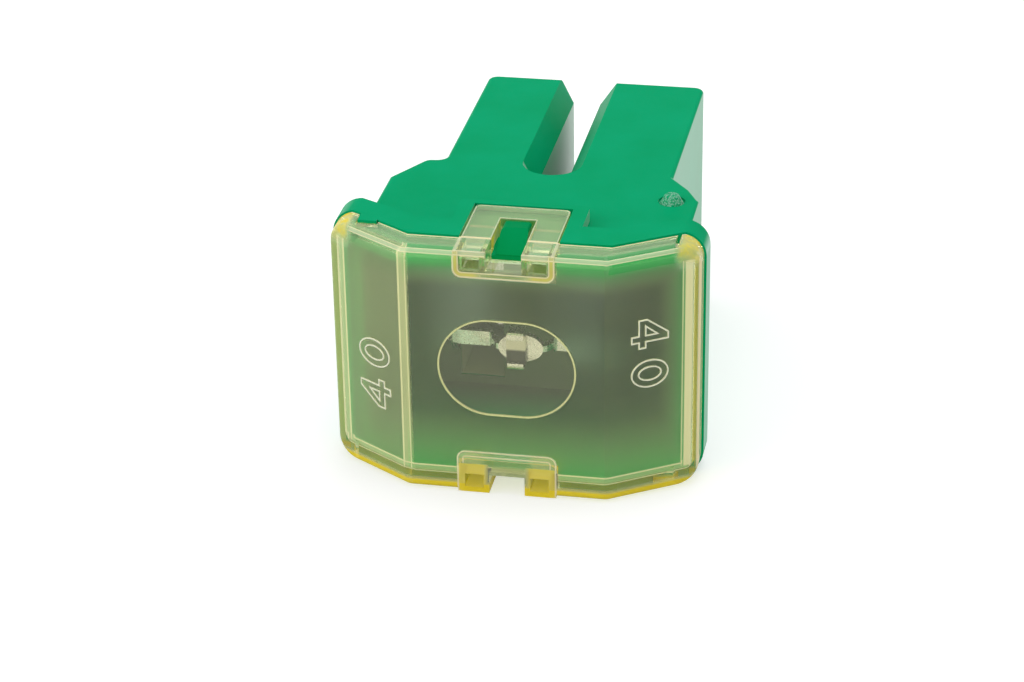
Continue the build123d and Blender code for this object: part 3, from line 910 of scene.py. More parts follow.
@dataclass(frozen=True)
class EdgeHighlights:
    """Painted highlights as pale lines along the outer edges of the cover, its latch frames and its straps.

    Args:
        shape: The cover's sizes.
        frames: The latch frames.
        edge: How far an edge's rounding reaches.
        line: Width of a line.
        thin_line: Width of a fine line.
        top: Where the band on the upper edge starts and ends, counted around the rounding.
        top_line: Width of the lines along that band.
        top_fill: Strength of the band between them.
        top_half_w: Distance from the middle at which the band ends.
        top_fade: Length over which it fades there.
        frame_line: Width of the line along a latch frame's outline.
        low_inner: Distances between which the lower frame's inner line lies.
        strap_near: Strength of a strap's lines at the front.
        strap_far: Strength of them behind the rounded edge.
    """

    shape: CoverShape
    frames: LatchFrames
    edge: float = 0.34 * MM
    line: float = 0.11 * MM
    thin_line: float = 0.07 * MM
    top: Limits = (-0.19 * MM, 0.22 * MM)
    top_line: float = 0.08 * MM
    top_fill: float = 0.55
    top_half_w: float = 8.9 * MM
    top_fade: float = 0.5 * MM
    frame_line: float = 0.09 * MM
    low_inner: Limits = (0.30 * MM, 0.38 * MM)
    strap_near: float = 0.8
    strap_far: float = 0.6

    def cover_edges(self, graph: Graph, spot: Spot) -> Socket:
        """Marks the lines along the upper edge, the skirt's open edge and the right edge.

        Args:
            graph: The finish being made.
            spot: Where the point lies.

        Returns:
            Strength of the lines, from 0 to 1.
        """
        shape = self.shape
        around = graph.plus(graph.minus(spot.level, shape.half_h), spot.depth)
        upper = graph.all_of(
            graph.banded(around, self.top, self.top_line, self.top_fill),
            graph.above(spot.level, shape.half_h - self.edge), graph.below(spot.depth, self.edge),
            graph.below(spot.size_x, self.top_half_w, self.top_fade),
        )
        open_edge = graph.all_of(
            graph.above(spot.level, shape.half_h - self.line / 2),
            graph.within(spot.depth, shape.skirt_depth - self.line, shape.skirt_depth + self.line),
        )
        right = graph.times(
            graph.above(spot.x, shape.half_w - self.line), graph.below(spot.depth, self.edge)
        )
        return graph.any_of(upper, open_edge, right)

    def strap_edges(self, graph: Graph, spot: Spot) -> Socket:
        """Marks the lines around the straps and their holes.

        Args:
            graph: The finish being made.
            spot: Where the point lies.

        Returns:
            Strength of the lines, from 0 to 1.
        """
        shape = self.shape
        on_strap = graph.all_of(
            graph.above(spot.size_z, shape.half_h), graph.below(spot.size_x, shape.latch_half_w)
        )
        hole = graph.all_of(
            graph.below(spot.size_x, shape.hole_half_w + self.thin_line),
            graph.above(spot.depth, shape.skirt_depth), graph.below(spot.depth, shape.hole_end + self.line),
        )
        outline = graph.any_of(
            graph.above(spot.size_x, shape.strap_half_w - self.thin_line),
            graph.above(spot.depth, shape.strap_end - self.line), hole,
        )
        strength = graph.span(spot.depth, 0.0, self.edge, self.strap_near, self.strap_far)
        return graph.all_of(on_strap, outline, strength)

    def frame_edges(self, graph: Graph, spot: Spot) -> Socket:
        """Marks the two lines around each latch frame.

        Args:
            graph: The finish being made.
            spot: Where the point lies.

        Returns:
            Strength of the lines, from 0 to 1.
        """
        width = self.shape.frame_width
        gap = self.frames.upper_gap(graph, spot)
        upper = graph.all_of(
            graph.any_of(
                graph.within(gap, 0.0, self.frame_line), graph.within(gap, width - self.thin_line, width)
            ),
            self.frames.on_front(graph, spot),
        )
        low_gap = self.frames.lower_gap(graph, spot)
        low_inner = graph.all_of(
            graph.within(low_gap, *self.low_inner), graph.above(spot.level, -self.shape.latch_z)
        )
        lower = graph.all_of(
            graph.any_of(graph.within(low_gap, 0.0, self.frame_line), low_inner),
            self.frames.on_lower_front(graph, spot),
        )
        return graph.any_of(upper, lower)

    def mask(self, graph: Graph, spot: Spot) -> Socket:
        """Marks all the lines, as a strength from 0 to 1."""
        kinds = (self.cover_edges, self.strap_edges, self.frame_edges)
        return graph.any_of(*[kind(graph, spot) for kind in kinds])


@dataclass(frozen=True)
class InnerHighlights:
    """Painted highlights as pale bands in the cover's rounded inner edges and in its left crease.

    Args:
        line: Width of the lines along a band.
        fill: Strength of a band between its lines.
        rounding: Depths between which the rounded inner edges lie.
        low: Distances from the outline of the lower band's two sides.
        low_level: Level below which the lower band runs.
        upright: Levels between which the upright bands run.
        left: Distances of the left band's two sides from the cover's side.
        right: The same for the right band.
        right_line: The same for the line beside it.
        crease: Places of the two sides of the crease's band.
        crease_line: Width of the lines along that band.
        crease_depth: Depths between which it lies.
        crease_top: Level of its upper end.
    """

    line: float = 0.11 * MM
    fill: float = 0.55
    rounding: Limits = (0.60 * MM, 1.40 * MM)
    low: Limits = (0.66 * MM, 1.16 * MM)
    low_level: float = -5.8 * MM
    upright: Limits = (-6.2 * MM, 6.1 * MM)
    left: Limits = (0.52 * MM, 0.98 * MM)
    right: Limits = (0.62 * MM, 1.02 * MM)
    right_line: Limits = (1.08 * MM, 1.15 * MM)
    crease: Limits = (-5.61 * MM, -5.31 * MM)
    crease_line: float = 0.07 * MM
    crease_depth: Limits = (0.5 * MM, 1.2 * MM)
    crease_top: float = 6.5 * MM

    def edges(self, graph: Graph, spot: Spot) -> Socket:
        """Marks the bands in the rounded inner edges.

        Args:
            graph: The finish being made.
            spot: Where the point lies.

        Returns:
            Strength of the bands, from 0 to 1.
        """
        upright = graph.within(spot.level, *self.upright)
        low = graph.all_of(
            graph.banded(spot.rim, self.low, self.line, self.fill), graph.below(spot.level, self.low_level)
        )
        left = graph.all_of(
            graph.banded(spot.side, self.left, self.line, self.fill), graph.below(spot.x, 0.0), upright
        )
        right = graph.all_of(
            graph.any_of(graph.within(spot.side, *self.right), graph.within(spot.side, *self.right_line)),
            graph.above(spot.x, 0.0), upright,
        )
        return graph.times(graph.within(spot.depth, *self.rounding), graph.any_of(low, left, right))

    def mask(self, graph: Graph, spot: Spot) -> Socket:
        """Marks all the bands where they are met from within the plastic.

        Args:
            graph: The finish being made.
            spot: Where the point lies.

        Returns:
            Strength of the bands, from 0 to 1.
        """
        crease = graph.all_of(
            graph.banded(spot.x, self.crease, self.crease_line, self.fill),
            graph.within(spot.depth, *self.crease_depth), graph.below(spot.level, self.crease_top),
        )
        return graph.times(spot.inside, graph.any_of(self.edges(graph, spot), crease))


@dataclass(frozen=True)
class PipedAmberGlow:
    """Places with painted amber glow, the plastic's amber lit by light piped along it: bottom, upper
    corners, latches and right edge.

    Args:
        shape: The cover's sizes.
        frames: The latch frames.
        bottom: How far the amber rises from the bottom.
        bottom_fade: Height over which it fades.
        behind: Its share behind the skirt's open edge, beside the latch.
        under_facing: How far a face turns down to be seen from below only.
        under_fade: Range over which that sets in.
        under_share: Share of the amber on such a face.
        corner_x: Distance of the upper corners' amber from the middle.
        corner_x_fade: Width over which it fades.
        corner_level: Level of that amber.
        corner_level_fade: Height over which it fades.
        patch: Size of the patches in the corners and holes.
        patch_noise: Noise between which a patch goes from weak to full.
        patch_weak: Strength of a weak patch.
        hole_x: How far the amber beside a hole reaches into the hole and away from it.
        hole_out: How far it reaches out of the strap.
        block_x: Distances from the middle between which the lower latch gathers amber.
        block_share: Its strength there, in the middle and at the sides.
        low_frame_width: Width of the lower latch frame's rim.
        low_frame_x: Distances between which the amber in that rim sets in.
        low_frame_share: Its strength, in the middle and at the sides.
        frame_x: Distance from which the upper latch frame holds amber.
        frame_fade: Width over which that sets in.
        frame_share: Its strength.
        strip: Distances of the right edge's strip from the cover's side.
        strip_near: Depth at which the strip starts.
        strip_share: Its strength.
    """

    shape: CoverShape
    frames: LatchFrames
    bottom: float = 0.55 * MM
    bottom_fade: float = 0.3 * MM
    behind: float = 0.62
    under_facing: float = -0.8
    under_fade: float = 0.2
    under_share: float = 0.3
    corner_x: float = 8.80 * MM
    corner_x_fade: float = 0.4 * MM
    corner_level: float = 6.2 * MM
    corner_level_fade: float = 0.9 * MM
    patch: float = 0.7 * MM
    patch_noise: Limits = (0.35, 0.65)
    patch_weak: float = 0.6
    hole_x: Limits = (0.05 * MM, 0.03 * MM)
    hole_out: float = 0.02 * MM
    block_x: Limits = (0.90 * MM, 1.25 * MM)
    block_share: Limits = (0.2, 0.86)
    low_frame_width: float = 0.9 * MM
    low_frame_x: Limits = (1.1 * MM, 1.5 * MM)
    low_frame_share: Limits = (0.08, 0.4)
    frame_x: float = 1.2 * MM
    frame_fade: float = 0.8 * MM
    frame_share: float = 0.8
    strip: Limits = (0.30 * MM, 0.60 * MM)
    strip_near: float = 0.50 * MM
    strip_share: float = 0.75

    def low_part(self, graph: Graph, spot: Spot) -> Socket:
        """Marks the bottom of the cover and the lower latch's two blocks.

        Args:
            graph: The finish being made.
            spot: Where the point lies.

        Returns:
            Strength of the amber, from 0 to 1.
        """
        shape = self.shape
        down = graph.below(graph.facing()[2], self.under_facing, self.under_fade)
        under = graph.times(down, graph.opposite(spot.inside))
        behind = graph.times(graph.above(spot.size_x, shape.latch_half_w), self.behind)
        reach = graph.times(
            graph.any_of(graph.below(spot.depth, shape.skirt_depth), behind),
            graph.span(under, 0.0, 1.0, 1.0, self.under_share),
        )
        bottom = graph.times(
            graph.below(spot.level, self.bottom - shape.half_h, self.bottom_fade), reach
        )
        block = graph.all_of(
            graph.below(spot.size_x, shape.latch_half_w), graph.below(spot.level, -shape.latch_z),
            graph.span(spot.size_x, *self.block_x, *self.block_share), reach,
        )
        return graph.any_of(bottom, block)

    def corners(self, graph: Graph, spot: Spot) -> Socket:
        """Marks the upper corners and the sides of the straps' holes, in patches.

        Args:
            graph: The finish being made.
            spot: Where the point lies.

        Returns:
            Strength of the amber, from 0 to 1.
        """
        shape = self.shape
        inward, outward = self.hole_x
        corner = graph.all_of(
            graph.above(spot.size_x, self.corner_x, self.corner_x_fade),
            graph.above(spot.level, self.corner_level, self.corner_level_fade),
        )
        hole_side = graph.all_of(
            graph.within(spot.size_x, shape.hole_half_w - inward, shape.hole_half_w + outward),
            graph.within(spot.size_z, shape.half_h - shape.hole_deep, shape.half_h + self.hole_out),
            graph.within(spot.depth, shape.skirt_depth, shape.hole_end),
        )
        patchy = graph.span(graph.noise(self.patch), *self.patch_noise, self.patch_weak, 1.0)
        return graph.times(graph.any_of(corner, hole_side), patchy)

    def latch_frames(self, graph: Graph, spot: Spot) -> Socket:
        """Marks the rims of the two latch frames.

        Args:
            graph: The finish being made.
            spot: Where the point lies.

        Returns:
            Strength of the amber, from 0 to 1.
        """
        upper = graph.all_of(
            graph.within(self.frames.upper_gap(graph, spot), 0.0, self.shape.frame_width),
            self.frames.on_front(graph, spot), graph.above(spot.size_x, self.frame_x, self.frame_fade),
        )
        lower = graph.all_of(
            graph.within(self.frames.lower_gap(graph, spot), 0.0, self.low_frame_width),
            self.frames.on_lower_front(graph, spot),
            graph.span(spot.size_x, *self.low_frame_x, *self.low_frame_share),
        )
        return graph.any_of(lower, graph.times(upper, self.frame_share))

    def right_strip(self, graph: Graph, spot: Spot) -> Socket:
        """Marks the strip of amber along the right edge.

        Args:
            graph: The finish being made.
            spot: Where the point lies.

        Returns:
            Strength of the amber, from 0 to 1.
        """
        strip = graph.all_of(
            graph.above(spot.x, 0.0), graph.within(spot.side, *self.strip),
            graph.within(spot.depth, self.strip_near, self.shape.skirt_depth), spot.inside,
        )
        return graph.times(strip, self.strip_share)

    def mask(self, graph: Graph, spot: Spot) -> Socket:
        """Marks all the painted amber glow, as a strength from 0 to 1."""
        kinds = (self.low_part, self.corners, self.latch_frames, self.right_strip)
        return graph.any_of(*[kind(graph, spot) for kind in kinds])


@dataclass(frozen=True)
class PaintedPart:
    """One part of the diffuse layer painted on the cover, such as painted light or the housing's green seen
    through.

    Args:
        mask: Where it is, from 0 to 1.
        share: Share of the layer there.
    """

    mask: Socket
    share: float


@dataclass(frozen=True)
class AmberCover:
    """Clear amber moulding of the cover, frosted inside around the oval window, with painted light laid
    over it.

    Args:
        shape: Its sizes.
        tint: Colour that the plastic keeps of the light.
        density: How fast it takes away the rest, for each metre.
        index: Refractive index.
        polish: Roughness of the clear faces.
        frost: Roughness of the frosted wall.
        ripple: Size of the ripples in the skin.
        ripple_depth: Depth of them.
        thin_tint: Colour of the light that falls through the cover onto other pieces.
        bounces: Number of bounces after which light counts as falling through.
        painted_light: Colour of the painted pale light in the window, on the left facet, on the skirt's
            outer sides and on faces met from within.
        border: Colour of it at the borders of the frosted wall, painted green light bounced from the
            housing.
        green: Colour of it where the housing's rim shows.
        side: Colour of it at the skirt's inner sides, painted light piped through the plastic.
        gold: Colour of the painted amber glow, the plastic's amber lit by light piped along it.
        pale_cream: Colour of the inner bands, painted highlights.
        cream: Colour of the painted highlights along the outer edges.
        window_share: Share of the painted layer in the oval window, a faint painted reflection.
        left_share: Share on the left facet, a painted reflection of the light from the left.
        border_share: Share at the borders.
        left_border: What is left of the border on the left facet.
        green_share: Share where the rim shows.
        silhouette_share: Share at the skirt's inner sides.
        silhouette_side: Distance from the cover's side up to which they reach.
        silhouette_depth: Depth from which they start.
        skin_share: Share of painted pale light on the skirt's outer sides.
        skin_side: Thickness of that skin.
        skin_level: Levels of its lower and upper end.
        edge_share: Share on all other faces met from within, painted light piped through the plastic.
        line_share: Share on the painted highlights of the outer edges.
        band_share: Share on the inner bands.
        gold_share: Share of the painted amber glow.
        strips: Where the rim shows.
    """

    shape: CoverShape = CoverShape()
    tint: Colour = (0.985, 0.925, 0.25)
    density: float = 330.0
    index: float = 1.5
    polish: float = 0.03
    frost: float = 0.75
    ripple: float = 1.6 * MM
    ripple_depth: float = 0.004 * MM
    thin_tint: Colour = (0.86, 0.88, 0.70)
    bounces: float = 5.0
    painted_light: Colour = (0.74, 0.95, 0.72)
    border: Colour = (0.07, 0.80, 0.28)
    green: Colour = (0.01, 0.50, 0.13)
    side: Colour = (0.88, 0.92, 0.50)
    gold: Colour = (0.97, 0.74, 0.03)
    pale_cream: Colour = (1.0, 1.0, 0.98)
    cream: Colour = (1.0, 0.87, 0.54)
    window_share: float = 0.045
    left_share: float = 0.20
    border_share: float = 0.30
    left_border: float = 0.35
    green_share: float = 0.80
    silhouette_share: float = 0.55
    silhouette_side: float = 0.62 * MM
    silhouette_depth: float = 0.9 * MM
    skin_share: float = 0.30
    skin_side: float = 0.04 * MM
    skin_level: Limits = (-6.6 * MM, 6.4 * MM)
    edge_share: float = 0.26
    line_share: float = 0.80
    band_share: float = 1.0
    gold_share: float = 0.72
    strips: tuple[RimStrip, ...] = (
        RimStrip((5.3 * MM, 8.9 * MM), (6.06 * MM, 6.6 * MM), (0.5 * MM, 1.22 * MM), 1.0),
        RimStrip((-5.4 * MM, 5.4 * MM), (6.30 * MM, 6.6 * MM), (0.5 * MM, 1.10 * MM), 0.7),
    )

    def painted_share(self, graph: Graph, painted_parts: list[PaintedPart]) -> Socket:
        """Share of the painted layer, which is that of its strongest part."""
        return graph.any_of(*[graph.times(painted_light.mask, painted_light.share) for painted_light in painted_parts])

    def with_painted_light(
        self, coat: Coat, places: LinkFrame, spot: Spot, clear: Socket, walls: tuple[Socket, Socket]
    ) -> Socket:
        """Lays the painted layer over the clear plastic: highlights, reflections, bounce light and glow,
        all painted.

        Args:
            coat: The finish being made.
            places: Where the cover lies.
            spot: Where the point lies.
            clear: Shader of the clear plastic.
            walls: Masks of the whole front wall's back and of its frosted part.

        Returns:
            The shader's socket.
        """
        face, frosted = walls
        frames = LatchFrames(self.shape)
        # Faces met from within, outside the front wall: painted light piped through the plastic.
        edge = coat.times(spot.inside, coat.opposite(face))
        # Painted highlights along the outer edges, the latch frames and the straps.
        lines = EdgeHighlights(self.shape, frames).mask(coat, spot)
        # Painted highlights in the rounded inner edges and the left crease.
        bands = InnerHighlights().mask(coat, spot)
        # Painted amber glow where light is piped along the plastic.
        gold = PipedAmberGlow(self.shape, frames).mask(coat, spot)
        # Left facet: painted reflection of the light from the left.
        left = coat.times(frosted, coat.below(spot.x, -places.crease_x))
        # Borders of the frosted wall: painted green light bounced from the housing.
        border = coat.all_of(
            frosted, FrostedWall(self.shape).border(coat, spot),
            coat.span(left, 0.0, 1.0, 1.0, self.left_border),
        )
        strips = coat.any_of(*[strip.mask(coat, spot) for strip in self.strips])
        green = coat.times(spot.inside, strips)
        # Skirt's inner sides: painted light piped through the plastic.
        silhouette = coat.all_of(
            spot.inside, coat.below(spot.side, self.silhouette_side),
            coat.above(spot.depth, self.silhouette_depth),
        )
        # Skirt's outer sides: painted pale light.
        skin = coat.times(coat.below(spot.side, self.skin_side), coat.within(spot.level, *self.skin_level))
        # The window gets a faint painted reflection.
        share = self.painted_share(coat, [
            PaintedPart(coat.minus(face, frosted), self.window_share), PaintedPart(left, self.left_share),
            PaintedPart(border, self.border_share), PaintedPart(green, self.green_share),
            PaintedPart(silhouette, self.silhouette_share), PaintedPart(skin, self.skin_share),
            PaintedPart(edge, self.edge_share), PaintedPart(lines, self.line_share),
            PaintedPart(bands, self.band_share), PaintedPart(gold, self.gold_share),
        ])
        tone = coat.blend(border, self.painted_light, self.border)
        tone = coat.blend(green, tone, self.green)
        tone = coat.blend(silhouette, tone, self.side)
        tone = coat.blend(gold, tone, self.gold)
        tone = coat.blend(bands, tone, self.pale_cream)
        tone = coat.blend(lines, tone, self.cream)
        return coat.layer(share, clear, coat.node("BsdfDiffuse", Color=tone).outputs[0])

    def make(self, places: LinkFrame) -> bpy.types.Material:
        """Makes the material.

        Args:
            places: Where the cover lies.

        Returns:
            The material.
        """
        coat = Coat("amber_cover")
        spot = Spot.on_cover(coat, places, self.shape)
        wall = FrostedWall(self.shape)
        face = wall.wall(coat, spot)
        frosted = coat.times(face, coat.opposite(wall.oval(coat, spot)))
        # The frosted wall's colour darkens what is seen behind it: painted shade.
        clear = coat.node(
            "BsdfPrincipled", Base_Color=wall.through_colour(coat, spot, frosted),
            Roughness=coat.span(frosted, 0.0, 1.0, self.polish, self.frost),
            Normal=coat.bump(coat.noise(self.ripple), self.ripple_depth),
        )
        clear.inputs["IOR"].default_value = self.index
        clear.inputs["Transmission Weight"].default_value = 1.0
        shown = self.with_painted_light(coat, places, spot, clear.outputs[0], (face, frosted))
        path = coat.node("LightPath")
        thin = coat.any_of(
            path.outputs["Is Shadow Ray"], path.outputs["Is Diffuse Ray"],
            coat.math(Op.GREATER, path.outputs["Ray Depth"], self.bounces),
        )
        volume = coat.node("VolumeAbsorption", Color=self.tint, Density=self.density)
        coat.put(coat.out.inputs["Volume"], volume.outputs[0])
        through = coat.node("BsdfTransparent", Color=self.thin_tint)
        return coat.surface(coat.layer(thin, shown, through.outputs[0]))


@dataclass(frozen=True)
class TinPlate:
    """Bright tin plating of the fuse strip, with rolling marks along it.

    Args:
        colour: Colour of the bright plating.
        dull: Colour of its dull clouds.
        cloud: Size of a cloud.
        cloud_end: Noise from which on the plating is bright.
        roughness: Middle roughness.
        roughness_spread: How far the grain moves it either way.
        grain: Size of the grain.
        grain_depth: Depth of it.
    """

    colour: Colour = (0.80, 0.78, 0.74)
    dull: Colour = (0.62, 0.60, 0.56)
    cloud: float = 0.8 * MM
    cloud_end: float = 0.6
    roughness: float = 0.24
    roughness_spread: float = 0.08
    grain: float = 0.12 * MM
    grain_depth: float = 0.004 * MM

    def make(self) -> bpy.types.Material:
        """Makes the material.

        Returns:
            The material.
        """
        coat = Coat("tin_plate")
        cloud = coat.noise(self.cloud, detail=3.0)
        colour = coat.ramp(cloud, [(NOISE_LOW, self.dull), (self.cloud_end, self.colour)])
        fine = coat.noise(self.grain)
        roughness = coat.span(
            fine, NOISE_LOW, NOISE_HIGH,
            self.roughness - self.roughness_spread, self.roughness + self.roughness_spread,
        )
        normal = coat.bump(fine, self.grain_depth)
        metal = coat.node("BsdfPrincipled", Base_Color=colour, Roughness=roughness, Normal=normal)
        metal.inputs["Metallic"].default_value = 1.0
        return coat.surface(metal.outputs[0])


@dataclass(frozen=True)
class TinAlloy:
    """Chip on the pad, painted dark as shade, with a painted highlight at its upper end.

    Args:
        colour: Dark colour of the chip, painted shade.
        pale: Colour of its paler grains.
        pale_start: Noise up to which it is dark.
        top_highlight: Colour of the painted highlight at the upper end.
        top_highlight_level: Levels between which the dark goes over into the painted highlight.
        metallic: How metallic it is.
        roughness: Its roughness.
        grain: Size of the grain.
        grain_depth: Depth of it.
    """

    colour: Colour = (0.045, 0.045, 0.038)
    pale: Colour = (0.11, 0.105, 0.09)
    pale_start: float = 0.35
    top_highlight: Colour = (0.70, 0.67, 0.58)
    top_highlight_level: Limits = (-0.04 * MM, 0.10 * MM)
    metallic: float = 0.9
    roughness: float = 0.36
    grain: float = 0.1 * MM
    grain_depth: float = 0.008 * MM

    def make(self, mid_z: float) -> bpy.types.Material:
        """Makes the material.

        Args:
            mid_z: Height of the middle of the link.

        Returns:
            The material.
        """
        coat = Coat("tin_alloy")
        fine = coat.noise(self.grain, detail=3.0)
        dark = coat.ramp(fine, [(self.pale_start, self.colour), (NOISE_HIGH, self.pale)])
        # Dark below as painted shade, bright above as a painted highlight.
        low, high = self.top_highlight_level
        upper = coat.span(coat.axes()[2], mid_z + low, mid_z + high, 0.0, 1.0)
        colour = coat.blend(upper, dark, self.top_highlight)
        metal = coat.node("BsdfPrincipled", Base_Color=colour, Normal=coat.bump(fine, self.grain_depth))
        metal.inputs["Roughness"].default_value = self.roughness
        metal.inputs["Metallic"].default_value = self.metallic
        return coat.surface(metal.outputs[0])


@dataclass(frozen=True)
class RidgeHighlight:
    """Pale look of the fine raised lines of the figures and the window, painted highlights on clear ridges.

    Args:
        colour: Colour of a line, a painted highlight.
        dim: Share of that colour in its duller spots.
        roughness: Its roughness.
        grain: Size of the spots.
    """

    colour: Colour = (0.92, 0.93, 0.70)
    dim: float = 0.85
    roughness: float = 0.25
    grain: float = 0.2 * MM

    def make(self) -> bpy.types.Material:
        """Makes the material.

        Returns:
            The material.
        """
        coat = Coat("ridge_highlight")
        dim = tuple(part * self.dim for part in self.colour)
        colour = coat.ramp(coat.noise(self.grain), [(NOISE_LOW, dim), (NOISE_HIGH, self.colour)])
        skin = coat.node("BsdfPrincipled", Base_Color=colour)
        skin.inputs["Roughness"].default_value = self.roughness
        return coat.surface(skin.outputs[0])


@dataclass
class RaisedWork:
    """Fine raised lines on the cover, each a closed ridge that follows an outline.

    Args:
        places: Where the cover lies.
        finish: Look of the lines.
        top_share: Width of a ridge's top as a share of its foot.
        sharpest: Smallest mitre, so that a sharp corner stays short.
    """

    places: LinkFrame
    finish: RidgeHighlight
    top_share: float = 0.6
    sharpest: float = 0.35

    def ridge(
        self, mesh: bmesh.types.BMesh, centres: list[Vector], out: Vector, width: float, levels: Limits
    ) -> None:
        """Adds one ridge.

        Args:
            mesh: Mesh that gets the ridge.
            centres: Points of the outline in order.
            out: Direction in which the ridge stands up.
            width: Width of the ridge at its foot.
            levels: Heights of its foot and its top above the outline.
        """
        low, high = levels
        rings = []
        for i, centre in enumerate(centres):
            ahead = (centres[(i + 1) % len(centres)] - centre).normalized()
            behind = (centre - centres[i - 1]).normalized()
            inward = out.cross(ahead + behind).normalized()
            mitre = inward.dot(out.cross(ahead))
            foot = inward * (width / 2 / max(mitre, self.sharpest))
            top = foot * self.top_share
            corners = (
                centre - foot + out * low, centre - top + out * high,
                centre + top + out * high, centre + foot + out * low,
            )
            rings.append([mesh.verts.new(corner) for corner in corners])
        for i, ring in enumerate(rings):
            following = rings[(i + 1) % len(rings)]
            for j in range(4):
                k = (j + 1) % 4
                mesh.faces.new((ring[j], ring[k], following[k], following[j]))

    def dressed(self, name: str, mesh: bmesh.types.BMesh) -> bpy.types.Object:
        """Turns a finished mesh into a piece that rides on the link.

        Args:
            name: Name of the piece.
            mesh: Its mesh, which is freed.

        Returns:
            The new piece.
        """
        bmesh.ops.recalc_face_normals(mesh, faces=mesh.faces)
        data = bpy.data.meshes.new(name)
        mesh.to_mesh(data)
        mesh.free()
        data.materials.append(self.finish.make())
        piece = bpy.data.objects.new(name, data)
        bpy.context.scene.collection.objects.link(piece)
        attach(piece, BODY)
        return piece


@dataclass
class WindowHighlightBead(RaisedWork):
    """Fine pale bead around the oval window, in the step behind the cover's front wall, a painted highlight
    along the step's edge.

    Args:
        finish: Look of the bead.
        shape: Sizes of the cover and its window.
        width: Width of the bead.
        gap: Air between the bead and the floor of the step.
        arc_steps: Steps on each end of the oval.
    """

    # A pale bead: a painted highlight along the window's edge.
    finish: RidgeHighlight = RidgeHighlight(colour=(1.0, 1.0, 0.97))
    shape: CoverShape = CoverShape()
    width: float = 0.095 * MM
    gap: float = 0.005 * MM
    arc_steps: int = 32

    def outline(self) -> list[Vector]:
        """Points around the oval, half a bead inside its edge.

        Returns:
            The points in order.
        """
        y = self.places.front_y + self.places.face_wall - self.shape.oval_step
        radius = self.shape.oval_radius - self.width / 2
        points = []
        for side in (1, -1):
            for i in range(self.arc_steps + 1):
                turn = math.pi * (i / self.arc_steps - 0.5)
                x = side * (self.shape.oval_half_flat + radius * math.cos(turn))
                z = self.places.mid_z + self.shape.oval_z + side * radius * math.sin(turn)
                points.append(Vector((x, y, z)))
        return points

    def build(self) -> bpy.types.Object:
        """Builds the bead.

        Returns:
            The new piece.
        """
        mesh = bmesh.new()
        inwards = Vector((0.0, 1.0, 0.0))
        self.ridge(mesh, self.outline(), inwards, self.width, (self.gap, self.shape.oval_step - self.gap))
        return self.dressed("window_highlight_bead", mesh)


@dataclass(frozen=True)
class Figure:
    """Outlines of one figure in a square from 0 to 1, height first and then width.

    Args:
        loops: Its closed outlines, from the outer one inwards.
    """

    loops: list[list[FlatPoint]]

    @classmethod
    def four(cls) -> "Figure":
        """The figure 4.

        Returns:
            A closed outline with a triangular hole.
        """
        outer = [
            (0.0, 0.56), (0.0, 0.78), (0.20, 0.78), (0.20, 1.0), (0.38, 1.0), (0.38, 0.78),
            (1.0, 0.78), (1.0, 0.56), (0.42, 0.0), (0.20, 0.0), (0.20, 0.56),
        ]
        hole = [(0.38, 0.56), (0.38, 0.22), (0.70, 0.56)]
        return cls([outer, hole])

    @classmethod
    def nought(
        cls, outer: FlatPoint = (0.5, 0.48), inner: FlatPoint = (0.31, 0.24), steps: int = 40
    ) -> "Figure":
        """The figure 0.

        Args:
            outer: Half the height and half the width of the outer oval.
            inner: The same for the inner oval.
            steps: Points on each oval.

        Returns:
            Two ovals.
        """
        turns = [2 * math.pi * i / steps for i in range(steps)]
        loops = [
            [(0.5 + tall * math.cos(turn), 0.5 + wide * math.sin(turn)) for turn in turns]
            for tall, wide in (outer, inner)
        ]
        return cls(loops)


@dataclass(frozen=True)
class FigureRow:
    """Layout of the figures on one facet.

    Args:
        height: Height of a figure, measured along the facet.
        base: Distance of the figures' feet from the crease.
        start: Where the first figure starts, from the middle of the link.
    """

    height: float
    base: float
    start: float


@dataclass
class RatingFigures(RaisedWork):
    """Raised outlines of the rating figures on the cover's two sloping facets, pale as painted highlights.

    Args:
        finish: Look of the lines.
        left: Layout on the left facet.
        right: Layout on the right facet.
        width: Width of a figure.
        pitch: Distance from one figure to the next.
        line: Width of a raised line.
        proud: How far a line stands out from the facet.
    """

    finish: RidgeHighlight = RidgeHighlight()
    left: FigureRow = FigureRow(height=2.25 * MM, base=1.13 * MM, start=-2.95 * MM)
    right: FigureRow = FigureRow(height=2.09 * MM, base=1.44 * MM, start=-3.35 * MM)
    width: float = 1.63 * MM
    pitch: float = 2.37 * MM
    line: float = 0.10 * MM
    proud: float = 0.035 * MM

    def point(self, side: Side, order: int, place: FlatPoint, out: float) -> Vector:
        """Point of a figure on its facet.

        Args:
            side: Which facet.
            order: Which figure, from 0.
            place: Height and width in the figure's own square.
            out: Distance in front of the facet.

        Returns:
            The point in the link's frame.
        """
        row = self.left if side is Side.LEFT else self.right
        along = row.base + place[0] * row.height
        across = row.start + order * self.pitch + place[1] * self.width
        return self.places.on_facet(side, along, -side.value * across, out)

    def build(self, side: Side) -> bpy.types.Object:
        """Builds the figures of one facet as one piece.

        Args:
            side: Which facet.

        Returns:
            The new piece.
        """
        mesh = bmesh.new()
        for order, figure in enumerate((Figure.four(), Figure.nought())):
            for loop in figure.loops:
                centres = [self.point(side, order, place, 0.0) for place in loop]
                out = (self.point(side, order, loop[0], MM) - centres[0]).normalized()
                self.ridge(mesh, centres, out, self.line, (-self.proud, self.proud))
        return self.dressed(f"rating_figures_{side.name.lower()}", mesh)


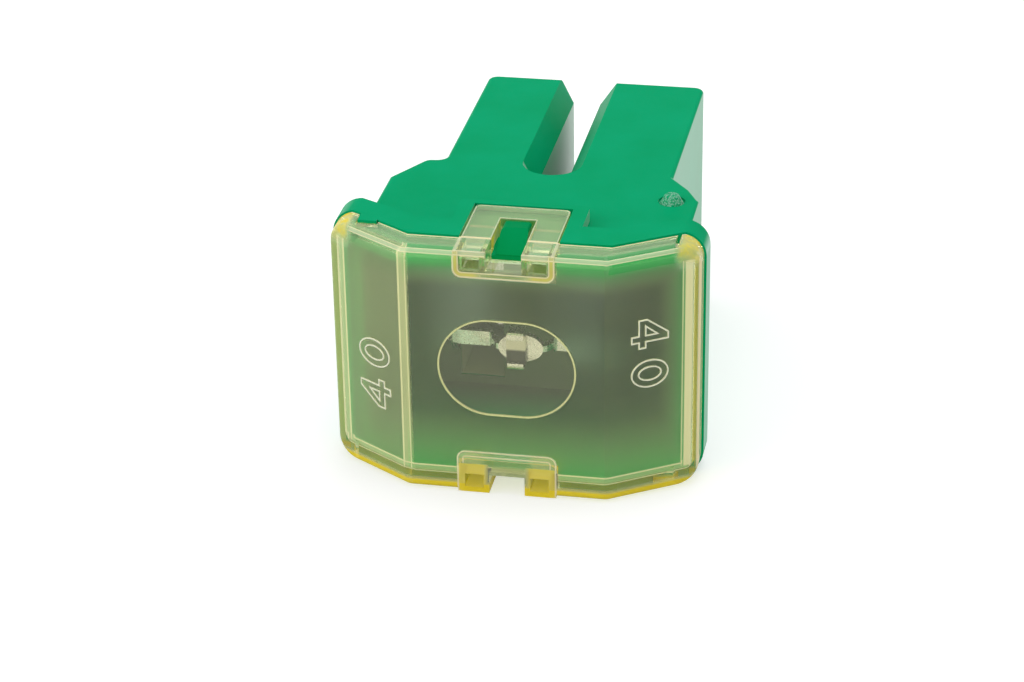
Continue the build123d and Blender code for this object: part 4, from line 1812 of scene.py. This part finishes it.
@dataclass
class Assembly:
    """The link's own four pieces and the finish that each gets.

    Args:
        places: Where the link lies.
    """

    places: LinkFrame

    def finishes(self) -> dict[str, bpy.types.Material]:
        """Makes the finish of each piece.

        Returns:
            The material for each piece's name.
        """
        return {
            "housing": GreenNylon().make(self.places),
            "cover": AmberCover().make(self.places),
            "fuse_link": TinPlate().make(),
            "tin_chip": TinAlloy().make(self.places.mid_z),
        }

    def dress(self) -> list[bpy.types.Object]:
        """Gives each piece its finish.

        Returns:
            The dressed pieces.
        """
        pieces = []
        for name, material in self.finishes().items():
            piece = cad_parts[name]
            for slot in piece.material_slots:
                slot.material = material
            pieces.append(piece)
        return pieces


@dataclass(frozen=True)
class Lamp:
    """Soft square lamp that looks at the link.

    Args:
        name: Name of the lamp.
        place: Where it hangs.
        power: Its power in watts.
        size: Length of its side.
    """

    name: str
    place: Place
    power: float
    size: float

    def hang(self, target: Place) -> None:
        """Adds the lamp to the scene.

        Args:
            target: What it looks at.
        """
        data = bpy.data.lights.new(self.name, "AREA")
        data.energy = self.power
        data.size = self.size
        lamp = bpy.data.objects.new(self.name, data)
        lamp.location = self.place
        aim = Vector(target) - Vector(self.place)
        lamp.rotation_mode = "QUATERNION"
        lamp.rotation_quaternion = aim.to_track_quat("-Z", "Y")
        bpy.context.scene.collection.objects.link(lamp)


@dataclass
class Studio:
    """Pale table, light tent, lamps and camera of the picture.

    Args:
        floor_half: Half the size of the table top.
        floor_grey: Share of light that the table sends back.
        floor_dim: Share of that grey in its duller clouds.
        floor_cloud: Size of a cloud.
        glow: How much brighter the table looks than it is lit.
        tent: Strength of the light from in front of the link.
        tent_back: Strength of the light from behind it.
        tent_y: Directions between which the one goes over into the other.
        target: What the lamps look at.
        lamps: The lamps above and beside the link.
        lens: Focal length of the camera in millimetres.
        sensor: Width of its sensor in millimetres.
        clip: Nearest and farthest distance that it sees.
        eye: Where it stands.
        azimuth: Turn of its look to the left, in degrees.
        elevation: How far it looks down, in degrees.
        roll: Turn around its line of sight, in degrees.
    """

    floor_half: float = 1.5
    floor_grey: float = 0.72
    floor_dim: float = 0.985
    floor_cloud: float = 80.0 * MM
    glow: float = 0.47
    tent: float = 0.75
    tent_back: float = 0.30
    tent_y: Limits = (-0.2, 0.8)
    target: Place = (0.0, 0.0, 7.0 * MM)
    lamps: tuple[Lamp, ...] = (
        Lamp("lamp_top", (0.05, 0.1, 0.5), power=0.92, size=0.4),
        Lamp("lamp_left", (-0.4, -0.25, 0.2), power=0.6, size=0.3),
    )
    lens: float = 102.11
    sensor: float = 36.0
    clip: Limits = (0.005, 20.0)
    eye: Place = (0.027029, -0.145863, 0.078693)
    azimuth: float = 11.319
    elevation: float = 27.078
    roll: float = -0.981

    def table_finish(self) -> bpy.types.Material:
        """Makes the pale finish of the table.

        Returns:
            The material.
        """
        coat = Coat("pale_table")
        white = (self.floor_grey,) * 3
        dim = (self.floor_grey * self.floor_dim,) * 3
        colour = coat.ramp(coat.noise(self.floor_cloud), [(NOISE_LOW, dim), (NOISE_HIGH, white)])
        glow = coat.node("Emission", Strength=coat.times(coat.looked_at(), self.glow))
        both = coat.node("AddShader")
        coat.put(both.inputs[0], coat.node("BsdfDiffuse", Color=colour).outputs[0])
        coat.put(both.inputs[1], glow.outputs[0])
        return coat.surface(both.outputs[0])

    def table(self) -> None:
        """Builds the table top."""
        data = bpy.data.meshes.new("table_top")
        half = self.floor_half
        corners = [(-half, -half, 0.0), (half, -half, 0.0), (half, half, 0.0), (-half, half, 0.0)]
        data.from_pydata(corners, [], [(0, 1, 2, 3)])
        data.materials.append(self.table_finish())
        table = bpy.data.objects.new("table_top", data)
        bpy.context.scene.collection.objects.link(table)

    def light_tent(self) -> None:
        """Sets the even white light from all around, weaker from behind the link."""
        world = bpy.data.worlds.new("light_tent")
        bpy.context.scene.world = world
        world.use_nodes = True
        graph = Graph(world.node_tree)
        sky = world.node_tree.nodes["Background"]
        graph.put(sky.inputs["Color"], WHITE)
        toward = graph.node("SeparateXYZ", Vector=graph.node("TexCoord").outputs["Generated"])
        tent = graph.span(toward.outputs["Y"], *self.tent_y, self.tent, self.tent_back)
        graph.put(sky.inputs["Strength"], graph.span(graph.looked_at(), 0.0, 1.0, tent, 1.0))

    def camera(self) -> None:
        """Places the camera of the picture."""
        data = bpy.data.cameras.new("camera")
        data.lens = self.lens
        data.sensor_width = self.sensor
        data.clip_start, data.clip_end = self.clip
        camera = bpy.data.objects.new("camera", data)
        turn = Matrix.Rotation(math.radians(self.azimuth), 4, "Z")
        tilt = Matrix.Rotation(math.radians(90.0 - self.elevation), 4, "X")
        roll = Matrix.Rotation(math.radians(self.roll), 4, "Z")
        camera.matrix_world = Matrix.Translation(self.eye) @ turn @ tilt @ roll
        bpy.context.scene.collection.objects.link(camera)
        bpy.context.scene.camera = camera

    def set_up(self) -> None:
        """Builds the table and the light tent, hangs the lamps and places the camera."""
        self.table()
        self.light_tent()
        for lamp in self.lamps:
            lamp.hang(self.target)
        self.camera()


def main() -> None:
    """Builds the looks in order and reports each piece."""
    logging.basicConfig(level=logging.INFO)
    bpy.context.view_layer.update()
    bpy.context.scene.view_settings.view_transform = "Standard"
    places = LinkFrame.from_nodes()
    for piece in Assembly(places).dress():
        LOG.info("dressed %s", piece.name)
    figures = RatingFigures(places)
    for side in Side:
        LOG.info("built %s", figures.build(side).name)
    LOG.info("built %s", WindowHighlightBead(places).build().name)
    Studio().set_up()


if __name__ == "__main__":
    main()
